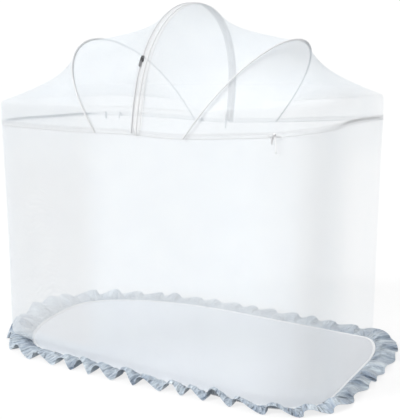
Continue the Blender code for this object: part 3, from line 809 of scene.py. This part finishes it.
def edge_distance(points):
    """Distance of places in plan from the base's seam."""
    line = seam.line[::3]
    return np.sqrt(((points[..., None, :] - line) ** 2).sum(-1)).min(-1)


def mat_rise(plan):
    """Height of the mat's top over its thickness at places in plan."""
    x, y = plan[..., 0], plan[..., 1]
    gap = edge_distance(plan) - MAT_INSIDE
    rise = 0.0006 * np.sin(7 * x + 1.2) * np.sin(9 * y + 0.4) + 0.0009 * np.sin(3.1 * x - 5.2 * y)
    bearing = np.arctan2(y * 1.7, x)
    rise += MAT_PUCKER * np.sin(83 * bearing) * np.sin(31 * bearing + 1.0) * np.exp(-gap / 0.012)
    rise += MAT_CROWN * (1 - np.exp(-gap / 0.020))
    rise -= SEWN_DEEP * np.exp(-((gap - SEWN_IN) / SEWN_WIDE) ** 2)
    dimple = np.hypot(x - DIMPLE_AT[0], y - DIMPLE_AT[1]) / DIMPLE_R
    rise -= DIMPLE_DEEP * np.exp(-dimple ** 2)
    return np.clip(rise, *MAT_RISE_LIMITS)


def base_mat():
    """The mat: flat below, its top with soft undulations, edge puckers, a sewn line and a dimple."""
    inside = {**SEAM, "left": SEAM["left"] + MAT_INSIDE, "right": SEAM["right"] - MAT_INSIDE,
              "near": SEAM["near"] + MAT_INSIDE, "far": SEAM["far"] - MAT_INSIDE}
    x = crowded(inside["left"], inside["right"], MAT_STATIONS)
    low, high = side_y(inside, x, "near"), side_y(inside, x, "far")
    y = low + (high - low) * crowded(0.0, 1.0, MAT_ROWS)[:, None]
    plan = np.stack([np.broadcast_to(x, y.shape), y], axis=-1)
    made = grid("base_mat_cloth", lifted(plan, MAT_THICK + mat_rise(plan)), "mat", ["base_mat"],
                "base_cloth", thick=0.0016, offset=-1.0)
    round(sheet_area(lifted(plan, 0.0)), 4)


def sheet_area(rows):
    """Area of a grid of points."""
    rows = np.asarray(rows)
    a, b = rows[1:, :-1] - rows[:-1, :-1], rows[:-1, 1:] - rows[:-1, :-1]
    return float(np.linalg.norm(np.cross(a, b), axis=-1).sum())


def binding():
    """The narrow rounded binding over the mat's edge, a little puckered by its stitches."""
    share = np.arange(BAND_STATIONS) / BAND_STATIONS
    turn = np.radians(np.linspace(0, 360, BINDING_SIDES, endpoint=False))
    middle, half = (BINDING_OUT - BINDING_IN) / 2, (BINDING_OUT + BINDING_IN) / 2
    ripples = np.sin(2 * math.pi * 211 * share) * np.sin(2 * math.pi * 37 * share + 1)
    pucker = 1 + BINDING_PUCKER * ripples
    rows = []
    for t in turn:
        across = middle + half * squarer(math.cos(t)) * (0.96 * pucker)
        level = BINDING_HIGH * (0.5 + 0.5 * squarer(math.sin(t)) * pucker)
        rows.append(lifted(seam.point(share, across), np.clip(level, 0.0, BINDING_HIGH)))
    rows.append(rows[0])
    grid("edge_binding_cloth", rows, "binding", ["edge_binding"], "binding", closed=True, flip=True)
    inside, level = BINDING_SEWN
    path = lifted(seam.point(np.append(share, 0.0), -inside), level)
    stitches("binding_stitches", path, np.tile(UP, (len(path), 1)), 0.00028, length=0.0024,
             pitch=0.0034, closed=True)


# ---- Frill ----------------------------------------------------------------------------------

def through(points, count):
    """A closed smooth curve through points whose last joins the first one fold further on."""
    points = np.asarray(points, float)
    next_fold = np.array([1.0, 0.0])
    ring_points = np.concatenate([points[-1:] - next_fold, points, points[:2] + next_fold])
    t = (np.arange(count) / count)[:, None]
    curve = []
    for a, b, c, d in zip(ring_points, ring_points[1:], ring_points[2:], ring_points[3:]):
        curve.append(0.5 * (2 * b + (c - a) * t + (2 * a - 5 * b + 4 * c - d) * t ** 2
                            + (3 * b - a - 3 * c + d) * t ** 3))
    return np.concatenate(curve)


def creases(t, w, phase, height):
    """Height of small creases on a fold: pinches at the seam, and wrinkles that swell in its middle."""
    pinch = np.abs(np.sin(math.pi * 3 * t + phase / 2)) ** 0.7
    pinch = pinch * (1 - math.exp(-w / 0.02)) * math.exp(-w / 0.26)
    wrinkle = np.abs(np.sin(math.pi * 5.2 * t + phase + 2.4 * w)) ** 0.8 - 0.6
    wrinkle = wrinkle + 0.6 * np.abs(np.sin(math.pi * 3.4 * t - 1.7 * phase - 4.0 * w)) ** 0.7
    wrinkle = wrinkle * math.sin(math.pi * w ** 0.8) ** 0.6 * (0.35 + 0.65 * height)
    return np.sin(math.pi * t) ** 0.5 * (PINCH_HIGH * pinch + WRINKLE_HIGH * wrinkle)


def differing(place):
    """How fully each place lies at the right end, on the far side, at the left end, at the corner."""
    x, y = place[..., 0], place[..., 1]
    corner = np.exp(-((x - CORNER_AT[0]) ** 2 + (y - CORNER_AT[1]) ** 2) / CORNER_WIDE ** 2)
    return smooth(x, *RIGHT_FROM), smooth(y, *FAR_FROM), smooth(-x, *LEFT_FROM), corner


def frill_rows():
    """The frill as a gathered strip: folds pinched at the seam that swell and lean over to the hem."""
    draw = np.random.default_rng(FRILL_SEED)
    drawn = {name: draw.uniform(*span, FRILL_FOLDS) for name, span in FOLD_DRAWS.items()}
    start = np.arange(FRILL_FOLDS) + drawn["start"]
    width = np.diff(np.append(start, start[0] + FRILL_FOLDS))
    shape = through(FOLD_SHAPE, 4)
    along, height = shape[:, 0], np.clip(shape[:, 1], 0.0, 1.0)
    t = np.arange(len(along)) / len(along)
    blend = smooth(t, 0.35, 1.0)
    high, lean = (drawn[name][:, None] * (1 - blend) + np.roll(drawn[name], -1)[:, None] * blend
                  for name in ("tall", "over"))
    across = np.concatenate([np.linspace(0, 0.3, 10)[:-1], np.linspace(0.3, 0.93, 13)[:-1],
                             np.linspace(0.93, 1.0, 5)])
    rows = []
    for w in across:
        shift = (along - t) * lean * smooth(w, 0.02, 0.40) * (1 - 0.12 * smooth(w, 0.60, 1.0))
        share = ((start[:, None] + width[:, None] * (t + shift)) / FRILL_FOLDS).ravel()
        place = seam.point(share).reshape(*high.shape, 2)
        right, far, left, corner = differing(place)
        droop = FRILL_DROOP * (1 + RIGHT_DROOPS_MORE * right)
        droop = droop * (1 - AWAY_DROOPS_LESS * np.maximum(far, left))
        hump = (1 - (1 - w) ** 2.4) * (1 - droop * smooth(w, 0.45, 1.0))
        rise = FRILL_TALL * high * height ** (0.6 + 0.4 * w) * hump + SEAM_RISE * (1 - w) ** 2
        rise = rise + creases(t, w, drawn["phase"][:, None], height)
        rise = rise + HEM_HIGH * between(w, HEM_RISES, HEM_FALLS)
        rise = rise * (1 - FAR_LOWER * far) * (1 - RIGHT_LOWER * right)
        rise = FRILL_LOW + rise * (1 + LEFT_HIGHER * left * (1 - far))
        reach = FRILL_REACH * (1 - CORNER_SHORTER * corner) * (1 - RIGHT_SHORTER * right) * w
        reach = reach * (1 + 0.05 * w - (0.27 - 0.21 * right) * w * height * high)
        reach = reach + FOLD_BOW * w * drawn["bow"][:, None] * np.sin(2 * math.pi * t)
        reach = reach + LEFT_LONGER * w * np.maximum(0.0, -place[..., 0] / 0.6) ** 3
        plan = seam.point(share, FRILL_START + reach.ravel())
        rows.append(lifted(plan, np.maximum(rise.ravel(), FRILL_FLOOR)))
    return rows


def frill():
    """The frill's cloth; the length of its hem is worked out and not used."""
    rows = frill_rows()
    made = grid("frill_cloth", rows, "frill", ["frill"], "frill_cloth", closed=True,
                thick=CLOTH_THICK, offset=0.0, flip=True)
    hem = np.concatenate([rows[-1], rows[-1][:1]])
    round(float(distances(hem)[-1]), 3)


# ---- Net wall and band ----------------------------------------------------------------------

LEGS = (
    (hoops["centre"].near, hoops["right"].near, 16),
    (hoops["right"].near, hoops["right"].far, 120),
    (hoops["right"].far, hoops["centre"].far, 16),
    (hoops["centre"].far, hoops["left"].far, 16),
    (hoops["left"].far, hoops["left"].near, 120),
    (hoops["left"].near, hoops["centre"].near, 16),
)
legs = [wall.stations(*leg) for leg in LEGS]
ring = np.concatenate([leg[:-1] for leg in legs])


def painted_shade_at(share):
    """Painted shade round the wall, as denser, greyer net at its left end and near its right end, less
    the net drawn thinner as painted light further round the right end.
    """
    ahead = np.mod(share, 1.0) * wall.length
    right = smooth(ahead, *NET_SHADE_RIGHT_RISES) * np.interp(ahead, NET_SHADE_RIGHT_FALLS, (1.0, 0.0))
    left = between(ahead - wall.length, NET_SHADE_LEFT_RISES, NET_SHADE_LEFT_FALLS)
    lightened = between(ahead, NET_LIGHT_RIGHT_RISES, NET_LIGHT_RIGHT_FALLS)
    return NET_SHADE_RIGHT * right + NET_SHADE_LEFT * left - NET_LIGHT_RIGHT * lightened


def foot_line():
    """The line on the base's seam below each station of the wall."""
    plan, line = wall.point(ring), seam.line[:-1]
    near = ((line[None] - plan[:, None]) ** 2).sum(-1).argmin(axis=1)
    at = np.unwrap(seam.at[near] / seam.length * 2 * math.pi) / (2 * math.pi)
    for _ in range(30):
        before, after = np.roll(at, 1), np.roll(at, -1)
        before[0] -= 1.0
        after[-1] += 1.0
        at = (before + 2 * at + after) / 4
    return seam.point(at)


def wall_sway(height, w):
    """How far the wall bulges: one soft wave, and ripples where it is sewn at its top and its foot."""
    sway = 0.004 * np.sin(math.pi * height / 0.77) * np.sin(2 * math.pi * 9 * ring + 0.8)
    sway += 0.0011 * np.sin(2 * math.pi * 71 * ring) * np.exp(-(1 - w) / 0.05) * smooth(w)
    sway += 0.0009 * np.sin(2 * math.pi * 83 * ring + 1.0) * np.exp(-w / 0.05) * smooth(w, 0.0, 0.02)
    return sway * smooth(1 - w, 0.0, 0.015)


def wall_shade(share, foot, tall):
    """How thick and grey the wall's threads are drawn as painted shade, and how thin as painted light,
    by share of its height and by station.
    """
    fade = 1 - 0.35 * smooth(share, 0.75, 1.0)
    # Near the foot the net is drawn thinner on the near side, which paints light there, and thicker on
    # the far side and left end, which paints shade
    foot_light_and_shade = 1 - smooth(share * tall, 0.7 * FLARE_HIGH, 1.5 * FLARE_HIGH)
    outer = np.maximum(smooth(foot[:, 1], 0.0, 0.25), 0.55 * smooth(-foot[:, 0], 0.38, 0.52))
    foot_light_and_shade = foot_light_and_shade[:, None] * (0.6 - 1.4 * outer)
    return fade[:, None] * painted_shade_at(ring) * (1 - foot_light_and_shade) - foot_light_and_shade


def net_wall():
    """The standing wall: out over the frill at its foot, then up to the band, softly rippled."""
    foot, top = foot_line(), wall.point(ring)
    level = band_level(top)
    tall, low = float(level.mean()), BINDING_HIGH + WALL_GAP
    share = np.concatenate([np.linspace(0, 0.055, 10)[:-1], np.linspace(0.055, 1, 34)])
    way = lifted(unit(top), 0.0)
    rows = []
    for w in share:
        height = (level - low) * w
        here = foot + (top - foot) * smooth(height, 0.0, FLARE_HIGH)[:, None]
        rows.append(lifted(here, low + height) + way * wall_sway(height, w)[:, None])
    made = grid("net_wall_cloth", rows, "net", ["net_wall"], "net", closed=True,
                thick=NET_THICK, offset=0.0)
    # Painted shade and light on the wall's net
    mark(made, "net_shade", wall_shade(share, foot, tall))


def band():
    """The tape that covers the join of wall and roof."""
    share = np.arange(BAND_STATIONS) / BAND_STATIONS
    level = band_level(wall.point(share))
    places = np.arange(BAND_ROWS) / (BAND_ROWS - 1) - 0.5
    rows = []
    for w in places:
        edge = 0.0002 * math.cos(2 * math.pi * (w + 0.5))
        crimp = 0.00015 * np.sin(2 * math.pi * 230 * share) * abs(w) * 2
        rows.append(lifted(wall.point(share, BAND_OFF + edge + crimp), level + w * BAND_HIGH))
    made = grid("band_tape", rows, "band", ["band"], "tape", closed=True, thick=0.0008, offset=0.0)
    ahead = share * wall.length
    # Painted shade: the band's tape is drawn greyer and closer at both ends
    tape_shade = BAND_SHADE_RIGHT * between(ahead, BAND_RIGHT_RISES, BAND_RIGHT_FALLS)
    tape_shade += between(ahead - wall.length, BAND_LEFT_RISES, BAND_LEFT_FALLS)
    mark(made, "tape_shade", tape_shade * (np.abs(places) < 0.25)[:, None])


def band_trim():
    """The piping along the band's lower edge, and two rows of stitches."""
    share = np.append(np.arange(BAND_STATIONS) / BAND_STATIONS, 0.0)
    out, level = lifted(wall.out(share), 0.0), band_level(wall.point(share))
    line = lifted(wall.point(share, BAND_OFF + 0.0006), level)
    low = line[:-1] - UP * BAND_HIGH / 2
    rows = [low + out[:-1] * a + UP * b for a, b in CORD_SECTION]
    grid("band_cord", [*rows, rows[0]], "cord", [], "tape", closed=True)
    for number, w in enumerate((-0.36, 0.36)):
        stitches(f"band_stitches_{number}", line + UP * w * BAND_HIGH, out, 0.00025, closed=True)


# ---- Roof -----------------------------------------------------------------------------------

def sagged(start, end, shares, sag, along):
    """Rows of points from start to end with the net's own sag between."""
    deep = sag * np.sin(math.pi * np.clip(along, 0.0, 1.0)) ** 0.6
    w = shares[:, None, None]
    rows = start + (end - start) * w
    profile = w[..., 0] ** 0.8 * (1 - w[..., 0] ** 5) / 0.627
    rows[..., 2] -= deep * profile
    return rows


def softened(rows, passes, kept):
    """Rows with sharp bends eased, apart from the row kept, both outer rows and each row's ends."""
    rows = rows.copy()
    for _ in range(passes):
        eased = (rows[:-2] + 2 * rows[1:-1] + rows[2:]) / 4
        for k in range(1, len(rows) - 1):
            if k != kept:
                rows[k, 1:-1] = eased[k - 1, 1:-1]
    return rows


def band_line(share):
    """The join of wall and roof, at shares of the wall's length."""
    plan = wall.point(share)
    return lifted(plan, band_level(plan))


def starting_near(line, place):
    """The line, turned round if its end is nearer to the place than its start."""
    start, end = (np.linalg.norm(line[k] - place) for k in (0, -1))
    return line[::-1] if end < start else line


def foot_panel(name, share, top, edge_sideways):
    """The net between the feet of two hoops, from the band up to the roof's end."""
    low = starting_near(band_line(share), top[0])
    low[-1] += unit(low[-2] - low[-1]) * abs(edge_sideways)
    rows = low + (top - low) * np.linspace(0, 1, UPRIGHT_ROWS)[:, None, None]
    return grid(name, rows, "net", [], "net", thick=NET_THICK)


def roof(name, side, edge_sideways, cap, near_gore, far_gore):
    """Half of the roof: from the band round one end over the side hoop to the centre hoop."""
    v = np.linspace(0, 1, len(cap))
    tuck = np.maximum(0.0, 1 - 8 * np.minimum(v, 1 - v))[:, None]
    ridge, out = hoops[side].under(len(cap) - 1)
    ridge = ridge - out * tuck * TUCK_AT_FEET
    edge, out = hoops["centre"].under(len(cap) - 1, edge_sideways, inward=0.0)
    edge = edge - out * tuck * NET_UNDER_HOOP
    base = starting_near(band_line(cap), ridge[0])
    high = base + UP * EAVE_RISE
    near_end, far_end = (np.maximum(0.0, 1 - d / 0.12)[:, None] ** 2 for d in (v, 1 - v))
    eave = high + (ridge[0] - high[0]) * near_end + (ridge[-1] - high[-1]) * far_end
    up = base + (eave - base) * np.linspace(0, 1, UPRIGHT_ROWS)[:, None, None]
    sweep = sagged(eave, ridge, np.linspace(0, 1, CAP_ROWS), CAP_SAG[side], v)
    gore = sagged(ridge, edge, np.linspace(0, 1, GORE_ROWS), GORE_SAG, v)
    rows = softened(np.concatenate([up[:-1], sweep[:-1], gore]), 3, RIDGE_ROW)
    main = grid(f"{name}_cloth", rows, "net", [name], "net", thick=NET_THICK)
    # Painted shade at the eaves, and painted light as thinner net over the right end, where it is unlit
    eaves = 1 - smooth(np.arange(len(rows)), *EAVE_ROWS)
    mark(main, "net_shade", eaves[:, None] * (EAVE_SHADE - smooth(rows[:, :, 0], *EAVE_LIGHT_FROM)))
    gores = [foot_panel(f"{name}_cloth_near", near_gore, gore[:, 0], edge_sideways),
             foot_panel(f"{name}_cloth_far", far_gore, gore[:, -1], edge_sideways)]
    round(sheet_area(rows), 3)


# ---- Hoops, casings and zip -----------------------------------------------------------------

def tape_shade_along(made, name, count, around):
    """Marks how grey and close a hoop's casing is drawn as painted shade, over count rings of so many
    points around each.
    """
    tape_shade = np.interp(np.linspace(0, 1, count), *CASING_SHADE[name])
    mark(made, "tape_shade", np.repeat(tape_shade, around))


def side_casing(name):
    """A tape folded round a rod, its two edges sewn together into a flange on the net."""
    path, side, out = hoops[name].whole(SIDE_STATIONS)
    turn = np.radians(np.linspace(-152, 152, 15))
    section = [(CASING_R * math.sin(t), CASING_R * math.cos(t)) for t in turn]
    section += [(0.0006, -CASING_R - 0.001), (0.0005, -CASING_FLANGE),
                (-0.0005, -CASING_FLANGE), (-0.0006, -CASING_R - 0.001)]
    puff = 1 + 0.05 * np.sin(np.linspace(0, 210, len(path))) * np.sin(np.linspace(0, 47, len(path)))
    made = swept(f"casing_{name}_tape", path, side, out, np.asarray(section) * puff[:, None, None],
                 "casing", [f"casing_{name}"], "tape")
    tape_shade_along(made, name, len(path), len(section))
    for hand in (-1, 1):
        line = path - out * (CASING_R + 0.0022) + side * hand * 0.0006
        stitches(f"casing_{name}_stitches_{hand + 1}", line, side * hand, 0.00022)


def flat_casing():
    """The centre hoop's wide flat casing, with the rod's ridge along its middle and piped edges."""
    path, side, out = hoops["centre"].whole(CENTRE_STATIONS)
    across = np.linspace(-FLAT_HALF, FLAT_HALF, 21)
    top = 0.0007 + 0.0028 * np.exp(-(across / 0.0036) ** 4)
    section = [*zip(across, top), *zip(across[::-1], -top[::-1])]
    made = swept("casing_centre_tape", path, side, out, section, "wide", ["casing_centre"], "tape")
    tape_shade_along(made, "centre", len(path), len(section))
    for number, a in enumerate((-FLAT_HALF, FLAT_HALF)):
        swept(f"casing_centre_cord_{number}", path + side * a, side, out, CORD_SECTION, "cord",
              slot="tape")
    for number, a in enumerate((-0.0106, 0.0106)):
        stitches(f"casing_centre_stitches_{number}", path + out * 0.0009 + side * a, out, 0.00022)


def zip_fastener(hoop):
    """The zip's two tapes and the coil of teeth between them."""
    path, side, out = hoop.whole(CENTRE_STATIONS)
    swept("zip_tapes", path + side * ZIP_MID, side, out, oblong(ZIP_WIDE / 2, ZIP_TAPE_HALF), "tape",
          ["zip_coil"], "zip_coil")
    places, ways = hoop.read((np.arange(int(hoop.length / ZIP_PITCH)) + 0.5) * ZIP_PITCH)
    around, (wide, high, long) = len(TOOTH_CORNERS), TOOTH_HALF
    points, faces = [], []
    for k, (place, way, run) in enumerate(zip(places, ways, np.cross(ways, hoop.side))):
        shift = TOOTH_SHIFT if k % 2 else -TOOTH_SHIFT
        for end in (-1, 1):
            points += [place + hoop.side * (ZIP_MID + shift + a * wide)
                       + way * (TOOTH_RISE + b * high) + run * end * long for a, b in TOOTH_CORNERS]
        faces += ring_faces(2, around, 2 * around * k)
    piece("zip_teeth", points, faces, "coil", slot="zip_coil", rounded=False)


def solid(name, rings, nodes=(), bevel=0.0003):
    """A closed metal solid through rings of points, with eased edges."""
    rings = np.asarray(rings)
    made = piece(name, rings.reshape(-1, 3), ring_faces(*rings.shape[:2]), "metal", nodes,
                 "slider_metal", rounded=False)
    ease_edges(made, bevel)


def slider(hoop):
    """The zip slider: a waisted body, its bridge, and the pull that hangs from it."""
    path, out = hoop.read(SLIDER_AT * hoop.length + np.array([-0.01, 0.0, 0.01]))
    middle, out = path[1] + hoop.side * ZIP_MID, out[1]
    run = np.cross(out, hoop.side)
    run = run if run[2] > 0 else -run

    def at_place(across, along, rise):
        return middle + hoop.side * across + run * along + out * rise

    for number, heights in enumerate(SLIDER_PLATES):
        rings = [[at_place(a, b, rise) for a, b in SLIDER_PLAN] for rise in heights]
        solid(f"slider_plate_{number}", rings, ["zip_slider"] if number == 0 else ())
    rings = [[at_place(a, POST_AT + b, rise) for a, b in oblong(*POST_HALF)] for rise in POST_FACES]
    solid("slider_post", rings, bevel=0.0002)
    bridge = np.array([at_place(0.0, -0.0042 * math.cos(t), 0.0024 + 0.0019 * math.sin(t) ** 0.7)
                       for t in np.linspace(0, math.pi, 11)])
    swept("slider_bridge", bridge, *across_path(bridge, out), oblong(*BRIDGE_HALF), "metal",
          slot="slider_metal")
    pull(at_place)


def pull(at_place):
    """The slider's pull: a flat drop with a hole near its top."""
    outer, inner = [], []
    for t in 2 * math.pi * np.arange(PULL_STEPS) / PULL_STEPS:
        a, b = math.cos(t), math.sin(t)
        outer.append((0.0036 * a * (1.0 - 0.18 * b), -0.0135 + 0.0130 * squarer(b)))
        inner.append((0.0016 * a, -0.0052 + 0.0034 * b))
    points = [at_place(a, b + PULL_AT, rise) for rise in PULL_FACES for a, b in outer + inner]
    hole, top, top_hole = PULL_STEPS, 2 * PULL_STEPS, 3 * PULL_STEPS
    faces = []
    for k in range(PULL_STEPS):
        n = (k + 1) % PULL_STEPS
        faces += [(k, n, hole + n, hole + k), (top + n, top + k, top_hole + k, top_hole + n),
                  (n, k, top + k, top + n), (hole + k, hole + n, top_hole + n, top_hole + k)]
    made = piece("slider_pull", points, faces, "pull", ["zip_pull"], "slider_metal", rounded=False)
    ease_edges(made, 0.0002)


# ---- Ties and tabs --------------------------------------------------------------------------

def on_band(x, side):
    """A place on the band's outer face, the way out, and the way along."""
    share = wall.share_at(x, side)
    out = np.array([*wall.out(share), 0.0])
    return band_line(share) + out * BAND_FACE, out, np.cross(UP, out)


def moved(place, *moves):
    """A path from a place: each move is a direction, and how far along it each point goes."""
    for way, far in moves:
        place = place + way * far[:, None]
    return place


def strip(name, path, across, wide, thick, nodes=(), curl=0.0006):
    """A narrow tape along a path, a little hollow across."""
    out, side = across_path(path, across)
    reach = np.linspace(-0.5, 0.5, 6)
    top = [(a * wide, thick / 2 + curl * (4 * a * a - 0.5)) for a in reach]
    under = [(a * wide, -thick / 2 + curl * (4 * a * a - 0.5)) for a in reach[::-1]]
    swept(name, path, side, out, top + under, "tape", nodes, "tape")


def bow(name, x, side, loop, end):
    """A small bow tied on the band: a wrapped knot, two drooping loops and two free ends."""
    middle, out, way = on_band(x, side)
    knot = middle + out * TIE_OFF_BAND
    turn = np.linspace(0, 2 * math.pi, 33)
    wrap = moved(knot, (out, 0.0029 * np.cos(turn)), (UP, 0.0034 * np.sin(turn)),
                 (way, 0.0012 * np.sin(turn)))
    strip(f"{name}_knot", wrap, way, 0.0062, 0.0013, [name], 0.0009)
    turn, fall = np.linspace(0, math.pi, 25), np.linspace(0, 1, 17)
    swell = np.sin(turn)
    for hand, size, reach in ((-1, 0.86 * loop, 0.5 * end), (1, loop, end)):
        level = 0.0050 * np.cos(turn) * (0.45 + 0.55 * swell) - (0.35 + 0.1 * hand) * size * swell
        path = moved(knot, (way * hand, 0.0013 + size * swell ** 0.8), (UP, level),
                     (out, 0.0012 * np.sin(turn * 2)))
        strip(f"{name}_loop_{hand + 1}", path, out, TIE_WIDE, TIE_THICK)
        path = moved(knot + out * hand * 0.0011, (UP, -0.0025 - reach * fall),
                     (way * hand, 0.001 + 0.005 * np.sin(fall * 2.2)))
        twist = np.radians(35 * hand * np.sin(fall * 3.0))
        across = way * np.cos(twist)[:, None] + out * np.sin(twist)[:, None]
        strip(f"{name}_end_{hand + 1}", path, across, TIE_WIDE, TIE_THICK)


def tabs(hoop):
    """The short tape tab on the far side of the band and the zip's own end."""
    middle, out, way = on_band(TAB_X, "far")
    share = np.linspace(0, 1, 15)
    path = moved(middle, (out, 0.0006 + 0.0006 * np.sin(3 * share)), (UP, 0.006 - 0.026 * share))
    strip("band_tab_tape", path, way, 0.008, 0.0009, ["band_tab"])
    ends, _ = hoop.read(hoop.length - np.array([0.006, 0.0]))
    path = moved(ends[-1] + hoop.side * ZIP_MID, (unit(ends[-1] - ends[0]), 0.029 * share))
    strip("zip_end_tape", path, hoop.side, 0.007, 0.0009, ["zip_end_tab"])


# ---- Stage, light and camera ----------------------------------------------------------------

def floor():
    """A plain pale floor."""
    count, radius = 96, 40.0
    turn = 2 * math.pi * np.arange(count) / count
    mesh = bpy.data.meshes.new("floor")
    points = [(radius * math.cos(t), radius * math.sin(t), 0.0) for t in turn]
    mesh.from_pydata(points, [], [tuple(range(count))])
    made = placed("floor", mesh)
    finish = Finish("floor", (FLOOR_ALBEDO,) * 3, 0.9, Specular_IOR_Level=0.0,
                    Emission_Color=(1.0, 1.0, 1.0, 1.0))
    seen = finish.node("ShaderNodeLightPath").outputs["Is Camera Ray"]
    finish.feed(Emission_Strength=finish.ramp(seen, 0.0, 1.0, FLOOR_FILL, FLOOR_GLOW))
    mesh.materials.append(finish.made)


def sun(name, strength, turn, high, wide):
    """A far light from a bearing round the object and a height, both in degrees."""
    data = bpy.data.lights.new(name, "SUN")
    data.energy = strength
    data.angle = math.radians(wide)
    made = placed(name, data)
    t, h = math.radians(turn), math.radians(high)
    back = Vector((math.sin(t) * math.cos(h), -math.cos(t) * math.cos(h), math.sin(h)))
    made.rotation_euler = back.to_track_quat("Z", "Y").to_euler()


def surroundings(seen, lit):
    """A white studio all round, seen white and lighting a little less."""
    world = bpy.data.worlds.new("studio")
    bpy.context.scene.world = world
    world.use_nodes = True
    nodes, links = world.node_tree.nodes, world.node_tree.links
    back = nodes["Background"]
    ray = nodes.new("ShaderNodeLightPath")
    range_node = nodes.new("ShaderNodeMapRange")
    range_node.inputs["To Min"].default_value = lit
    range_node.inputs["To Max"].default_value = seen
    links.new(ray.outputs["Is Camera Ray"], range_node.inputs["Value"])
    links.new(range_node.outputs[0], back.inputs["Strength"])
    back.inputs["Color"].default_value = (1.0, 1.0, 1.0, 1.0)


def camera():
    """The photograph's own viewpoint."""
    data = bpy.data.cameras.new("camera")
    data.sensor_fit = "HORIZONTAL"
    data.sensor_width = SENSOR_WIDE
    data.lens = SENSOR_WIDE * FOCAL / FRAME_WIDE
    made = placed("camera", data)
    made.location = np.array(CAMERA_AT) + STAND
    made.rotation_euler = (math.radians(90 - CAMERA_DIP), 0.0, math.radians(CAMERA_TURN))
    bpy.context.scene.camera = made


camera()
surroundings(SURROUND_SEEN, SURROUND)
sun("key", strength=2.0, turn=-38, high=41, wide=12)
floor()
base_mat()
binding()
frill()
net_wall()
band()
band_trim()
roof("net_roof_right", "right", RIGHT_EDGE, legs[1], legs[0], legs[2])
roof("net_roof_left", "left", LEFT_EDGE, legs[4], legs[5], legs[3])
side_casing("left")
side_casing("right")
flat_casing()
zip_fastener(hoops["centre"])
slider(hoops["centre"])
for row in TIES:
    bow(*row)
tabs(hoops["centre"])
for name in hoops:
    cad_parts[f"rod_{name}"].material_slots[0].material = FINISHES["rod"]

bpy.context.scene.view_settings.view_transform = "Standard"
# A line of sight passes through many layers of net
bpy.context.scene.cycles.transparent_max_bounces = 64
